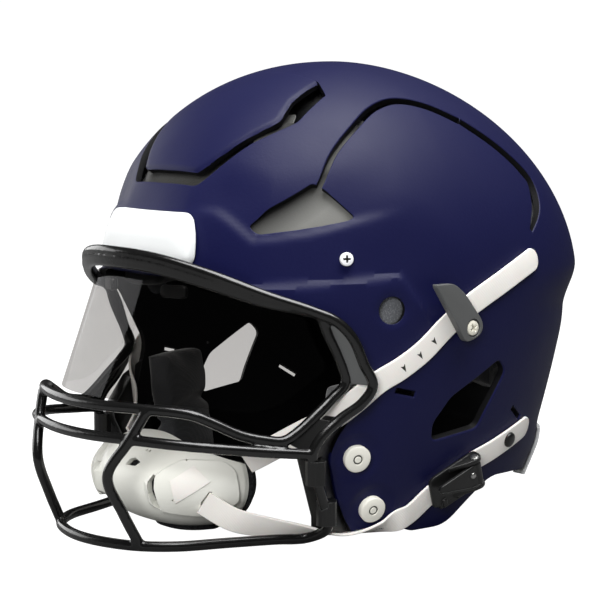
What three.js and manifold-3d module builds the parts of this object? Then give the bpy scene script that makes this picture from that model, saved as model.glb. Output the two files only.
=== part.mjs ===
// American football helmet: polycarbonate shell with a crown flex panel, steel face mask with a smoked
// visor, liner pads, four-point chin strap with strap arms and cam buckles, and quick-release mask clips.
//
// Frame, in millimetres: +Z up, the wearer faces -Y and the wearer's left is +X. The base plane z = 0 is
// the table that the jaw flaps and the mask's bottom bar stand on, and x = 0 is the symmetry plane. Pieces
// are drawn with y = 0 at the shell's widest station, and the whole group is then moved so that the origin
// is the middle of the helmet's length.

import * as THREE from "three";
import { mergeVertices } from "three/addons/utils/BufferGeometryUtils.js";
import Module from "manifold-3d";

const wasm = await Module();
wasm.setup();

// ---- Driving dimensions ------------------------------------------------------------------------------

const HALF_WIDTH = 118; // shell, at its widest level
const FRONT = 137; // from y = 0 forward to the forehead
const REAR = 155; // from y = 0 back to the occiput
const WIDEST = 131; // height of the widest level
const CROWN = 259; // height of the crown
const SHELL_WALL = 4;
const NECK = 141.4; // length of the neck's top, just below the overhang
const PLAN_POWER = 2.29; // superellipse powers: plan, then the side, front and rear of the dome
const SIDE_POWER = 2.07;
const FRONT_POWER = 2.08;
const REAR_POWER = 1.81;
const SHELL_CENTRE = new THREE.Vector3(0, 0, 110); // vents are cut along rays from here
const WIRE = 2.9; // radius of the face mask's wire
const STRAP_WIDTH = 12.5;
const STRAP_THICK = 1.6;
const STRAP_LIFT = 0.5; // gap between the shell and a strap lying on it
const VISOR_WALL = 2.4;
const GAP = 0.4; // gap between pieces that touch
const THROUGH = 12; // half length of a drill that goes right through a wall or a fitting
const LENGTH_CENTRE = -16.54; // y of the middle of the helmet's length, from the widest station

// ---- Materials ---------------------------------------------------------------------------------------

function finish(color, roughness, metalness = 0) {
  return new THREE.MeshStandardMaterial({ color, roughness, metalness });
}

const navy = finish(0x1b1f52, 0.55);
const white = finish(0xf2f2ee, 0.4);
const blackWire = finish(0x16161a, 0.3, 0.5);
const blackPlastic = finish(0x1c1c1f, 0.4);
const foam = finish(0x26282a, 0.9);
const steel = finish(0xc8c8c4, 0.3, 0.9);
const smoke = finish(0x2a2b30, 0.08);

const helmet = new THREE.Group();

function add(name, solid, material) {
  const mesh = new THREE.Mesh(toGeometry(solid), material);
  mesh.name = name;
  helmet.add(mesh);
}

// Adds a solid made for the wearer's left, and its mirror image for the right.
function addPair(name, solid, material) {
  add(name + "_left", solid, material);
  add(name + "_right", mirrored(solid), material);
}

// ---- Solids ------------------------------------------------------------------------------------------

function toSolid(geometry) {
  const bare = geometry.clone();
  bare.deleteAttribute("normal");
  bare.deleteAttribute("uv");
  const merged = mergeVertices(bare, 1e-4);
  const corners = merged.index.array;
  const kept = [];
  for (let i = 0; i < corners.length; i += 3) {
    const [a, b, c] = corners.slice(i, i + 3);
    if (a !== b && b !== c && c !== a) kept.push(a, b, c);
  }
  const made = new wasm.Manifold(
    new wasm.Mesh({
      numProp: 3,
      vertProperties: new Float32Array(merged.attributes.position.array),
      triVerts: new Uint32Array(kept),
    }),
  );
  return made;
}

function toGeometry(solid) {
  const mesh = solid.getMesh();
  const geometry = new THREE.BufferGeometry();
  geometry.setAttribute("position", new THREE.BufferAttribute(mesh.vertProperties, 3));
  geometry.setIndex(new THREE.BufferAttribute(mesh.triVerts, 1));
  geometry.computeVertexNormals();
  return geometry;
}

function placed(geometry, matrix) {
  return toSolid(geometry.clone().applyMatrix4(matrix));
}

function mirrored(solid) {
  const geometry = toGeometry(solid);
  geometry.scale(-1, 1, 1);
  const corners = geometry.index.array;
  for (let i = 0; i < corners.length; i += 3) {
    [corners[i + 1], corners[i + 2]] = [corners[i + 2], corners[i + 1]];
  }
  return toSolid(geometry);
}

function bothSides(solid) {
  return solid.add(mirrored(solid));
}

// A closed polygon, drawn in the side view as [y, z] pairs, extruded along X from low to high.
function sidePrism(outline, low, high) {
  const shape = new THREE.Shape(outline.map(([y, z]) => new THREE.Vector2(y, z)));
  const geometry = new THREE.ExtrudeGeometry(shape, { depth: high - low, bevelEnabled: false });
  const axes = new THREE.Matrix4().makeBasis(
    new THREE.Vector3(0, 1, 0),
    new THREE.Vector3(0, 0, 1),
    new THREE.Vector3(1, 0, 0),
  );
  return placed(geometry, axes.setPosition(low, 0, 0));
}

// A closed polygon, drawn in the front view as [x, z] pairs, extruded along -Y from high to low.
function frontPrism(outline, high, low) {
  const shape = new THREE.Shape(outline.map(([x, z]) => new THREE.Vector2(x, z)));
  const geometry = new THREE.ExtrudeGeometry(shape, { depth: high - low, bevelEnabled: false });
  const axes = new THREE.Matrix4().makeBasis(
    new THREE.Vector3(1, 0, 0),
    new THREE.Vector3(0, 0, 1),
    new THREE.Vector3(0, -1, 0),
  );
  return placed(geometry, axes.setPosition(0, high, 0));
}

function mirrorOutline(half) {
  return [...half, ...half.map(([x, v]) => [-x, v]).reverse()];
}

// ---- The shell's surface -----------------------------------------------------------------------------

function signedPower(value, power) {
  return Math.sign(value) * Math.abs(value) ** power;
}

// How far below the widest level a height is: 0 there, 1 at the base plane.
function dropAt(z) {
  return Math.max(0, (WIDEST - z) / WIDEST);
}

function sideWidth(z) {
  return HALF_WIDTH * (1 - 0.21 * dropAt(z) ** 1.8);
}

// Zero below zero and equal to t above it, with the corner between them rounded over.
function ramp(t, round) {
  if (t <= -round) return 0;
  return t >= round ? t : (t + round) ** 2 / (4 * round);
}

// The dome overhangs the neck by a soft step; the neck tapers down to an upright band, and its lower edge
// turns in.
function rearLength(z) {
  const step = THREE.MathUtils.smoothstep(z, WIDEST - 16, WIDEST + 11);
  const taper = 0.28 * (ramp(107 - z, 8) - ramp(48 - z, 5));
  return NECK + (REAR - NECK) * step - taper - 0.5 * ramp(35 - z, 3);
}

function domePower(forward, share) {
  return THREE.MathUtils.lerp(SIDE_POWER, forward ? FRONT_POWER : REAR_POWER, share);
}

// A point of the outer surface: turn goes round from the wearer's left (0), front at -90 degrees; level is
// -1 at the base plane, 0 at the widest level and 1 at the crown.
function surfacePoint(turn, level) {
  const forward = Math.sin(turn) < 0;
  const across = signedPower(Math.cos(turn), 2 / PLAN_POWER);
  const along = signedPower(Math.sin(turn), 2 / PLAN_POWER);
  const rise = (Math.max(0, level) * Math.PI) / 2;
  const profile = 2 / domePower(forward, Math.abs(along));
  const shrink = Math.max(0, Math.cos(rise)) ** profile;
  const z = level <= 0 ? WIDEST * (1 + level) : WIDEST + (CROWN - WIDEST) * Math.sin(rise) ** profile;
  const length = forward ? FRONT : rearLength(z);
  return new THREE.Vector3(sideWidth(z) * across * shrink, length * along * shrink, z);
}

// Below zero inside the outer surface, above zero outside it.
function outside(x, y, z) {
  const length = y < 0 ? FRONT : rearLength(z);
  const reach = Math.hypot(
    (Math.abs(x) / sideWidth(z)) ** (PLAN_POWER / 2),
    (Math.abs(y) / length) ** (PLAN_POWER / 2),
  ) ** (2 / PLAN_POWER);
  if (z <= WIDEST) return reach - 1;
  const share = reach > 1e-6 ? Math.min(1, Math.abs(y) / (length * reach)) : 0;
  const profile = domePower(y < 0, share);
  return reach ** profile + ((z - WIDEST) / (CROWN - WIDEST)) ** profile - 1;
}

function normalAt(p) {
  const h = 0.4;
  return new THREE.Vector3(
    outside(p.x + h, p.y, p.z) - outside(p.x - h, p.y, p.z),
    outside(p.x, p.y + h, p.z) - outside(p.x, p.y - h, p.z),
    outside(p.x, p.y, p.z + h) - outside(p.x, p.y, p.z - h),
  ).normalize();
}

// The largest t in [0, reach] for which at(t) is still inside the surface.
function lastInside(at, reach) {
  let low = 0;
  let high = reach;
  for (let i = 0; i < 40; i += 1) {
    const middle = (low + high) / 2;
    if (outside(...at(middle)) < 0) low = middle;
    else high = middle;
  }
  return low;
}

// The outer surface's point, on the wearer's left, that shows at [y, z] in the side view.
function onSide(y, z, lift = 0) {
  const point = new THREE.Vector3(lastInside((t) => [t, y, z], HALF_WIDTH + 2), y, z);
  return point.addScaledVector(normalAt(point), lift);
}

// The forehead's point of the outer surface that shows at [x, z] in the front view.
function onFront(x, z) {
  return new THREE.Vector3(x, -lastInside((t) => [x, -t, z], FRONT + 2), z);
}

// The outer surface's point that shows at [x, y] in the top view.
function onTop(x, y, lift = 0) {
  const height = lastInside((t) => [x, y, WIDEST + t], CROWN - WIDEST + 2);
  const point = new THREE.Vector3(x, y, WIDEST + height);
  return point.addScaledVector(normalAt(point), lift);
}

// ---- Solids that follow a surface --------------------------------------------------------------------

// A closed body between two grids of points; row r, column c of each is at(c / columns, r / rows, side).
function between(at, columns, rows, closed = false) {
  const across = closed ? columns : columns + 1;
  const positions = [];
  for (const side of [0, 1]) {
    for (let r = 0; r <= rows; r += 1) {
      for (let c = 0; c < across; c += 1) positions.push(...at(c / columns, r / rows, side).toArray());
    }
  }
  const index = (side, r, c) => side * across * (rows + 1) + r * across + (c % across);
  const triangles = [];
  const quad = (a, b, c, d) => triangles.push(a, b, c, a, c, d);
  for (let r = 0; r < rows; r += 1) {
    for (let c = 0; c < columns; c += 1) {
      quad(index(1, r, c), index(1, r, c + 1), index(1, r + 1, c + 1), index(1, r + 1, c));
      quad(index(0, r, c), index(0, r + 1, c), index(0, r + 1, c + 1), index(0, r, c + 1));
    }
  }
  for (let c = 0; c < columns; c += 1) {
    quad(index(0, 0, c), index(0, 0, c + 1), index(1, 0, c + 1), index(1, 0, c));
    quad(index(0, rows, c + 1), index(0, rows, c), index(1, rows, c), index(1, rows, c + 1));
  }
  if (!closed) {
    for (let r = 0; r < rows; r += 1) {
      quad(index(0, r + 1, 0), index(0, r, 0), index(1, r, 0), index(1, r + 1, 0));
      quad(index(0, r, columns), index(0, r + 1, columns), index(1, r + 1, columns), index(1, r, columns));
    }
  }
  const geometry = new THREE.BufferGeometry();
  geometry.setAttribute("position", new THREE.Float32BufferAttribute(positions, 3));
  geometry.setIndex(triangles);
  return toSolid(geometry);
}

// A layer of the shell's surface between two offsets from it, over a range of turns (degrees) and levels.
function layer(turns, levels, offsets, columns, rows, closed = false) {
  const at = (u, v, side) => {
    const turn = THREE.MathUtils.degToRad(THREE.MathUtils.lerp(turns[0], turns[1], u));
    const point = surfacePoint(turn, THREE.MathUtils.lerp(levels[0], levels[1], v));
    return point.addScaledVector(normalAt(point), offsets[side]);
  };
  return between(at, columns, rows, closed);
}

// A cutter through the shell whose outline is a closed ring of surface points, widening away from the
// shell's centre.
function radialCutter(ring, inner = 0.72, outer = 1.2) {
  const arms = ring.map((p) => p.clone().sub(SHELL_CENTRE));
  const axis = arms.reduce((sum, arm) => sum.add(arm), new THREE.Vector3()).normalize();
  const right = new THREE.Vector3(0, 0, 1).cross(axis);
  if (right.length() < 0.2) right.set(1, 0, 0);
  right.addScaledVector(axis, -right.dot(axis)).normalize();
  const up = axis.clone().cross(right);
  const flat = (arm) => new THREE.Vector2(arm.dot(right), arm.dot(up)).divideScalar(arm.dot(axis));
  if (THREE.ShapeUtils.isClockWise(arms.map(flat))) arms.reverse();
  const caps = THREE.ShapeUtils.triangulateShape(arms.map(flat), []);
  const count = arms.length;
  const positions = [];
  for (const scale of [inner, outer]) {
    for (const arm of arms) {
      positions.push(...arm.clone().multiplyScalar(scale).add(SHELL_CENTRE).toArray());
    }
  }
  const triangles = [];
  for (const [a, b, c] of caps) triangles.push(count + a, count + b, count + c, a, c, b);
  for (let i = 0; i < count; i += 1) {
    const next = (i + 1) % count;
    triangles.push(i, next, count + next, i, count + next, count + i);
  }
  const geometry = new THREE.BufferGeometry();
  geometry.setAttribute("position", new THREE.Float32BufferAttribute(positions, 3));
  geometry.setIndex(triangles);
  return toSolid(geometry);
}

// A ring of points around a line on the shell, half a width to each side of it.
function slotRing(line, width) {
  const left = [];
  const right = [];
  line.forEach((p, i) => {
    const along = line[Math.min(i + 1, line.length - 1)].clone().sub(line[Math.max(i - 1, 0)]);
    const across = along.cross(normalAt(p)).normalize();
    left.push(p.clone().addScaledVector(across, width / 2));
    right.push(p.clone().addScaledVector(across, -width / 2));
  });
  return [...left, ...right.reverse()];
}

// A flat strap: a rectangle swept through stations { p, n }, where n is the strap's outward face normal.
function ribbon(stations, width, thick) {
  const curve = new THREE.CatmullRomCurve3(stations.map((s) => s.p), false, "centripetal");
  const normals = new THREE.CatmullRomCurve3(stations.map((s) => s.n), false, "centripetal");
  const at = (u, v, side) => {
    const normal = normals.getPoint(u).normalize();
    const across = normal.clone().cross(curve.getTangent(u)).normalize();
    const face = curve.getTangent(u).cross(across).normalize();
    const point = curve.getPoint(u).addScaledVector(across, (v - 0.5) * width);
    return point.addScaledVector(face, (side - 0.5) * thick);
  };
  return between(at, 3 * (stations.length - 1), 1);
}

// Local frame on the wearer's left side of the shell: X along a side-view direction, Z out of the shell.
function sideFrame([y, z], [dy, dz], lift = 0) {
  const origin = onSide(y, z, lift);
  const out = normalAt(origin);
  const along = new THREE.Vector3(0, dy, dz);
  along.addScaledVector(out, -along.dot(out)).normalize();
  return new THREE.Matrix4().makeBasis(along, out.clone().cross(along), out).setPosition(origin);
}

function box(width, depth, height, x, y, z) {
  return new THREE.BoxGeometry(width, depth, height).translate(x, y, z);
}

// A round solid about a frame's Z axis, from height low to high.
function disc(radius, low, high, segments = 14) {
  const cylinder = new THREE.CylinderGeometry(radius, radius, high - low, segments);
  return cylinder.rotateX(Math.PI / 2).translate(0, 0, (low + high) / 2);
}

// A slightly crowned screw head with a cross recess, sitting on a frame's XY plane, with a short shank.
function screw(frame, headRadius, headHeight, shankLength) {
  const head = placed(disc(headRadius, 0, headHeight), frame);
  const shank = placed(disc(headRadius * 0.45, -shankLength, 0.01, 12), frame);
  const arm = headRadius * 1.1;
  const slot = headRadius * 0.22;
  const recess = placed(box(arm, slot, 1.2, 0, 0, headHeight), frame).add(
    placed(box(slot, arm, 1.2, 0, 0, headHeight), frame),
  );
  return head.add(shank).subtract(recess);
}

// ---- Shell and flex panel ----------------------------------------------------------------------------

const FACE_OPENING = [
  [-260, 144],
  [-128, 143.5],
  [-112, 137],
  [-84, 124.5],
  [-72, 108],
  [-61, 90],
  [-68, 75],
  [-77, 58],
  [-79, 48],
  [-74, 30],
  [-67, 14],
  [-58, 2],
  [-52, -40],
  [-260, -40],
];
const UNDER_EDGE = [
  [-260, -40],
  [-260, 4],
  [-29, 4],
  [-22, 0],
  [4, 0],
  [17, 12],
  [34, 25],
  [60, 23.5],
  [88, 19.5],
  [120, 18.5],
  [260, 18.5],
  [260, -40],
];
// The panel's root corner in the top view, then its half outlines in the front view, down to the middle
// of the forehead.
const OPENING_ROOT = [39.5, -43];
const PANEL_ROOT = [37.5, -43.6];
const PANEL_OPENING = [
  [52.5, 240],
  [58, 225.5],
  [53.5, 220.5],
  [46.5, 214.3],
  [40, 205.2],
  [33, 196.5],
  [28.5, 191.7],
  [0, 192.5],
];
const PANEL_EDGE = [
  [36, 242.5],
  [43.5, 237.5],
  [50, 226.5],
  [43.5, 220],
  [37, 212.5],
  [30.5, 205],
  [25, 199],
  [0, 200],
];
// Openings on each side, in the side view.
const FRONT_VENT = [[-113, 173], [-111, 169], [-70, 176], [-67, 178], [-78, 192], [-82, 195], [-104, 182]];
const SIDE_SLOT = [[-80, 193], [-66, 210], [-47, 224], [-30, 233], [-12, 237], [8, 234], [29, 225]];
const REAR_SLOT = [[29, 225], [50, 211], [66, 197], [71, 190], [68, 178], [56, 164]];
const SIDE_SLOT_WIDTH = 3.3;
const LOWER_VENT = [[-19, 52], [-20, 62], [-9, 76], [26, 94], [32, 87], [18, 64], [14, 56]];
const SMALL_SLITS = [
  [[-47, 83], [-35, 80]],
  [[44, 64], [54, 57]],
];
const EAR = { at: [-52, 127], radius: 7.5 };
const SHELL_SCREW = [-75, 155];
const DISCS = { upper: [-65, 47], lower: [-51, 17] };
const ARM_SCREW = [-4.5, 115];
const SNAP = [43, 46];

function circleRing([y, z], radius, count = 14) {
  const ring = [];
  for (let i = 0; i < count; i += 1) {
    const angle = (i / count) * Math.PI * 2;
    ring.push(onSide(y + radius * Math.cos(angle), z + radius * Math.sin(angle)));
  }
  return ring;
}

function panelRing([rootX, rootY], half) {
  const edge = half.map(([x, z]) => onFront(x, z));
  const otherEdge = half.slice(0, -1).map(([x, z]) => onFront(-x, z));
  return [onTop(rootX, rootY), ...edge, ...otherEdge.reverse(), onTop(-rootX, rootY)];
}

const blank = layer([0, 360], [-1.08, 1], [-SHELL_WALL, 0], 44, 14, true);

function shellOpenings() {
  const sideRings = [
    FRONT_VENT.map(([y, z]) => onSide(y, z)),
    LOWER_VENT.map(([y, z]) => onSide(y, z)),
    circleRing(EAR.at, EAR.radius),
    ...[SIDE_SLOT, REAR_SLOT, ...SMALL_SLITS].map((line) =>
      slotRing(line.map(([y, z]) => onSide(y, z)), SIDE_SLOT_WIDTH),
    ),
  ];
  const holes = [
    { at: SHELL_SCREW, radius: 2.2 },
    { at: DISCS.upper, radius: 4 },
    { at: DISCS.lower, radius: 4 },
    { at: ARM_SCREW, radius: 2.6 },
    { at: SNAP, radius: 2.2 },
  ];
  const cutters = sideRings.map((ring) => radialCutter(ring));
  for (const hole of holes) {
    cutters.push(placed(disc(hole.radius, -THROUGH, THROUGH, 10), sideFrame(hole.at, [0, 1])));
  }
  return cutters.reduce((all, next) => all.add(next));
}

function buildShell() {
  const body = blank
    .subtract(sidePrism(FACE_OPENING, -200, 200))
    .subtract(sidePrism(UNDER_EDGE, -200, 200))
    .subtract(radialCutter(panelRing(OPENING_ROOT, PANEL_OPENING)))
    .subtract(bothSides(shellOpenings()));
  add("shell", body, navy);
  add("flex_panel", blank.intersect(radialCutter(panelRing(PANEL_ROOT, PANEL_EDGE))), navy);
}

// ---- Bumpers -----------------------------------------------------------------------------------------

const BUMPER_PROUD = 5.5;
const BUMPER_PROUD_REAR = 2.4;

function buildBumpers() {
  const frontLayer = layer([-120, -60], [0.02, 0.42], [GAP, BUMPER_PROUD], 16, 6);
  const frontOutline = mirrorOutline([[42, 150], [40, 166], [34, 178]]);
  add("front_bumper", frontLayer.intersect(frontPrism(frontOutline, -60, -200)), white);
  const rearWrap = layer([40, 140], [-0.94, -0.62], [GAP, BUMPER_PROUD_REAR], 18, 5);
  const rearLip = layer([40, 140], [-0.94, -0.62], [-SHELL_WALL, BUMPER_PROUD_REAR - 0.2], 18, 5);
  const wrapOutline = [[86, 15.5], [97, 42], [200, 42], [200, 14.5], [110, 14.5]];
  const lipOutline = [[86, 15.5], [86.6, 17.6], [110, 16.6], [200, 16.6], [200, 14.5], [110, 14.5]];
  const wrap = rearWrap.intersect(sidePrism(wrapOutline, -150, 150));
  add("rear_bumper", wrap.add(rearLip.intersect(sidePrism(lipOutline, -150, 150))), white);
}

// ---- Liner -------------------------------------------------------------------------------------------

// Each pad's range of turns and levels, and the depths of its inner and outer faces below the shell's
// outer surface. The crown and front pads leave room for the flex panel to bend, and the jaw pad leaves
// room for the mask clips.
const PADS = {
  crown: { turns: [0, 360], levels: [0.7, 0.97], depths: [-36, -13] },
  front: { turns: [-128, -52], levels: [0.14, 0.6], depths: [-30, -13] },
  back: { turns: [50, 130], levels: [-0.6, 0.6], depths: [-34, -10] },
  side: { turns: [-42, 44], levels: [-0.05, 0.62], depths: [-34, -7] },
  jaw: { turns: [-33, -11], levels: [-0.9, -0.36], depths: [-30, -12] },
};
// A thin sheet behind each front vent, and a thin round plug behind each ear hole.
const VENT_BACKING = { turns: [-64, -24], levels: [0.15, 0.4], depths: [-6.8, -5.3] };
const EAR_PLUG = { radius: 9.5, turns: [-42, -12], levels: [-0.2, 0.1], depths: [-6.7, -5.2] };

function lining({ turns, levels, depths }, columns, rows, closed = false) {
  return layer(turns, levels, depths, columns, rows, closed);
}

function buildLiner() {
  add("crown_pad", lining(PADS.crown, 20, 2, true), foam);
  add("front_pad", lining(PADS.front, 10, 5), foam);
  add("back_pad", lining(PADS.back, 8, 8), foam);
  addPair("side_pad", lining(PADS.side, 10, 5), foam);
  addPair("jaw_pad", lining(PADS.jaw, 6, 6), foam);
  addPair("vent_backing", lining(VENT_BACKING, 10, 4), foam);
  const punch = placed(disc(EAR_PLUG.radius, -THROUGH, THROUGH, 16), sideFrame(EAR.at, [0, 1]));
  addPair("ear_plug", lining(EAR_PLUG, 6, 4).intersect(punch), foam);
}

// ---- Face mask ---------------------------------------------------------------------------------------

// Half outlines, from the symmetry plane round the wearer's left, in order.
const PERIMETER = [
  [0, -154, 157],
  [30, -148, 155],
  [56, -134, 148],
  [82, -112, 136],
  [98, -94, 128],
  [105, -85, 123],
  [109.5, -77.5, 114],
  [111.5, -71.5, 100],
  [112.5, -66, 88],
  [110.5, -72, 79],
  [105, -82, 71],
  [102, -94, 61],
  [101, -98, 53],
  [99, -93, 38],
  [95, -84, 20],
  [90, -79, 9],
  [80, -84, 3.2],
  [72, -101, 3.2],
  [62, -125, 3.2],
  [52, -150, 3.2],
  [38, -165, 3.2],
  [20, -173, 3.2],
  [0, -176, 3.2],
];
const EYE_LOOP = [
  [0, -153, 151],
  [30, -147, 149],
  [56, -133, 142],
  [80, -112, 132.5],
  [92, -99, 129],
  [98, -91, 126],
  [100, -86, 115],
  [101, -77, 97],
  [101, -75, 89],
  [99, -83, 81],
  [98, -92, 74],
  [96, -104, 65],
  [94, -112, 61],
  [90, -121, 62],
  [84, -132, 65],
  [76, -145, 72],
  [70, -153, 76],
  [50, -167, 78],
  [27, -176, 78],
  [0, -180, 78],
];
const CROSS_BAR = [
  [0, -183, 62],
  [20, -181, 62],
  [43, -174, 62],
  [66, -162, 61],
  [82, -144, 59],
  [93, -121, 56],
  [99, -104, 54],
  [101, -98, 53],
];
const UPRIGHT = [
  [50, -168, 77],
  [44, -174.5, 62],
  [34, -182, 42],
  [36, -174, 22],
  [38, -165, 4],
];

function vectors(rows) {
  return rows.map((row) => new THREE.Vector3(...row));
}

function fullCurve(half, closed) {
  const other = half.slice(1, closed ? -1 : undefined).map(([x, y, z]) => [-x, y, z]);
  const rows = closed ? [...half, ...other.reverse()] : [...other.reverse(), ...half];
  return new THREE.CatmullRomCurve3(vectors(rows), closed, "centripetal");
}

function wireRing(radius, segments) {
  const shape = new THREE.Shape();
  for (let i = 0; i < segments; i += 1) {
    const angle = (i / segments) * Math.PI * 2;
    const corner = [radius * Math.cos(angle), radius * Math.sin(angle)];
    if (i === 0) shape.moveTo(...corner);
    else shape.lineTo(...corner);
  }
  return shape;
}

function openWire(curve, radius, steps, segments = 6) {
  const options = { steps, extrudePath: curve, bevelEnabled: false };
  return toSolid(new THREE.ExtrudeGeometry(wireRing(radius, segments), options));
}

function closedWire(curve, radius, steps, segments = 6) {
  return toSolid(new THREE.TubeGeometry(curve, steps, radius, segments, true));
}

// All the mask's wires, welded into one body, at a given wire radius.
function maskWires(radius) {
  const upright = openWire(new THREE.CatmullRomCurve3(vectors(UPRIGHT)), radius, 10);
  return closedWire(fullCurve(PERIMETER, true), radius, 76)
    .add(closedWire(fullCurve(EYE_LOOP, true), radius, 66))
    .add(openWire(fullCurve(CROSS_BAR, false), radius, 30))
    .add(bothSides(upright));
}

// ---- Mask clips, release discs and pins --------------------------------------------------------------

const CLIPS = {
  upper: { wire: [100, -95, 43], edge: [-81, 45], disc: DISCS.upper, tail: [-56, 48] },
  lower: { wire: [94.5, -83, 19], edge: [-68, 18], disc: DISCS.lower, tail: [-43, 17] },
};
const CLIP_THICK = 3.6;
const JAW_EDGE = [
  [-70, 76],
  [-80, 58],
  [-82, 48],
  [-77, 30],
  [-69, 14],
  [-60, -4],
  [0, -4],
  [0, 95],
];

// A clip holds the outer wire in a barrel and runs back behind the shell to its release disc.
function maskClip(clip) {
  const wire = new THREE.Vector3(...clip.wire);
  const behind = [clip.edge, clip.disc, clip.tail].map(([y, z]) => {
    const p = onSide(y, z, -(SHELL_WALL + GAP + CLIP_THICK / 2 + 0.3));
    return { p, n: normalAt(p) };
  });
  const tongue = ribbon([{ p: wire, n: behind[0].n }, ...behind], 13, CLIP_THICK);
  const upright = new THREE.Matrix4().makeTranslation(wire.x, wire.y, wire.z);
  return tongue.add(placed(disc(5.6, -6.5, 6.5, 14), upright));
}

const DISC_RADIUS = 7.5;
const DISC_HEIGHT = 2.6;
const PIN_RADIUS = 2;

function buildClips() {
  add("face_mask", maskWires(WIRE), blackWire);
  const wireSpace = maskWires(WIRE + GAP);
  const shellSpace = layer([-90, 0], [-1.08, -0.4], [-(SHELL_WALL + GAP), 4], 12, 6);
  const taken = shellSpace.intersect(sidePrism(JAW_EDGE, 0, 150)).add(wireSpace);
  for (const [level, clip] of Object.entries(CLIPS)) {
    const pieces = maskClip(clip).subtract(taken).decompose();
    addPair("mask_clip_" + level, largest(pieces), blackPlastic);
    const frame = sideFrame(clip.disc, [0, 1], GAP);
    const hole = placed(disc(PIN_RADIUS + 0.3, -THROUGH, THROUGH, 10), frame);
    const socket = placed(disc(3.5, -(SHELL_WALL + GAP), 0.5, 10), frame);
    const face = placed(disc(DISC_RADIUS, 0, DISC_HEIGHT, 18), frame);
    addPair("release_disc_" + level, face.add(socket).subtract(hole), white);
    addPair("release_pin_" + level, placed(disc(PIN_RADIUS, -1.6, DISC_HEIGHT, 10), frame), steel);
  }
}

function largest(solids) {
  return solids.sort((a, b) => b.volume() - a.volume())[0];
}

// ---- Visor -------------------------------------------------------------------------------------------

// Plan half-ellipse behind which the visor wraps: its half width and reach forward of back, at two heights.
const VISOR = {
  back: -60,
  low: 84,
  lowWidth: 96,
  lowReach: 110,
  high: 147,
  highWidth: 91,
  highReach: 82,
};
const VISOR_OUTLINE = [
  [-185, 81],
  [-150, 79],
  [-122, 75],
  [-108, 79],
  [-94, 88],
  [-80, 97],
  [-76, 101],
  [-87, 121],
  [-97, 126.5],
  [-108, 131.5],
  [-126, 140],
  [-137, 145],
  [-185, 146],
];

const VISOR_CLIP = { turn: 0.36, height: 136 };

function visorPoint(turn, z, inset) {
  const share = (z - VISOR.low) / (VISOR.high - VISOR.low);
  const reach = THREE.MathUtils.lerp(VISOR.lowReach, VISOR.highReach, share);
  const across = THREE.MathUtils.lerp(VISOR.lowWidth, VISOR.highWidth, share) - inset;
  return new THREE.Vector3(across * Math.sin(turn), VISOR.back - (reach - inset) * Math.cos(turn), z);
}

function visorLayer(insets, low, high, columns) {
  const widest = THREE.MathUtils.degToRad(86);
  const at = (u, v, side) => {
    const turn = THREE.MathUtils.lerp(-widest, widest, u);
    return visorPoint(turn, THREE.MathUtils.lerp(low, high, v), insets[side]);
  };
  return between(at, columns, 1);
}

function buildVisor() {
  const sheet = visorLayer([VISOR_WALL, 0], 60, 160, 22);
  add("visor", sheet.intersect(sidePrism(VISOR_OUTLINE, -150, 150)), smoke);
  const facing = new THREE.Vector3(-Math.sin(VISOR_CLIP.turn), Math.cos(VISOR_CLIP.turn), 0);
  const upward = new THREE.Vector3(0, 0, 1);
  const frame = new THREE.Matrix4()
    .makeBasis(upward.clone().cross(facing), upward, facing)
    .setPosition(visorPoint(VISOR_CLIP.turn, VISOR_CLIP.height, VISOR_WALL + 2.4));
  const hole = placed(disc(1.7, -3, 12, 12), frame);
  addPair("visor_clip", placed(box(16, 7, 3.6, 0, 0, 1.8), frame).subtract(hole), blackPlastic);
  const head = placed(disc(2.6, 4, 5.2, 14), frame);
  addPair("visor_screw", head.add(placed(disc(1.3, 0.2, 4.1, 10), frame)), steel);
}

// ---- Chin strap --------------------------------------------------------------------------------------

const CUP = { y: -98, z: 30, halfWidth: 52, reach: 54, halfHeight: 28, power: 2.5, wall: 2.8 };

// A point of the cup: turn 0 is the front, rise 0 is the middle of the cup's height.
function cupPoint(turn, rise, inset) {
  const across = signedPower(Math.sin(turn), 2 / CUP.power);
  const along = signedPower(Math.cos(turn), 2 / CUP.power);
  const shrink = Math.cos(rise) ** 0.8;
  return new THREE.Vector3(
    (CUP.halfWidth - inset) * across * shrink,
    CUP.y - (CUP.reach - inset) * along * shrink,
    CUP.z + (CUP.halfHeight - inset) * Math.sin(rise),
  );
}

// A layer of the cup, whose top rim falls from the front to the two sides.
function cupLayer(insets, widest, bottom, sideTop, frontTop) {
  const at = (u, v, side) => {
    const turn = THREE.MathUtils.lerp(-widest, widest, u);
    const facing = Math.max(0, Math.cos(THREE.MathUtils.degToRad(turn)));
    const rise = THREE.MathUtils.lerp(bottom, THREE.MathUtils.lerp(sideTop, frontTop, facing), v);
    return cupPoint(THREE.MathUtils.degToRad(turn), THREE.MathUtils.degToRad(rise), insets[side]);
  };
  return between(at, 16, 5);
}

// Stations of a strap that lies on the shell: side-view points, lifted clear of the surface.
function onShellStations(points) {
  return points.map(([y, z]) => {
    const p = onSide(y, z, STRAP_LIFT + STRAP_THICK / 2);
    return { p, n: normalAt(p) };
  });
}

function station(p, n) {
  return { p: new THREE.Vector3(...p), n: new THREE.Vector3(...n).normalize() };
}

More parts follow.
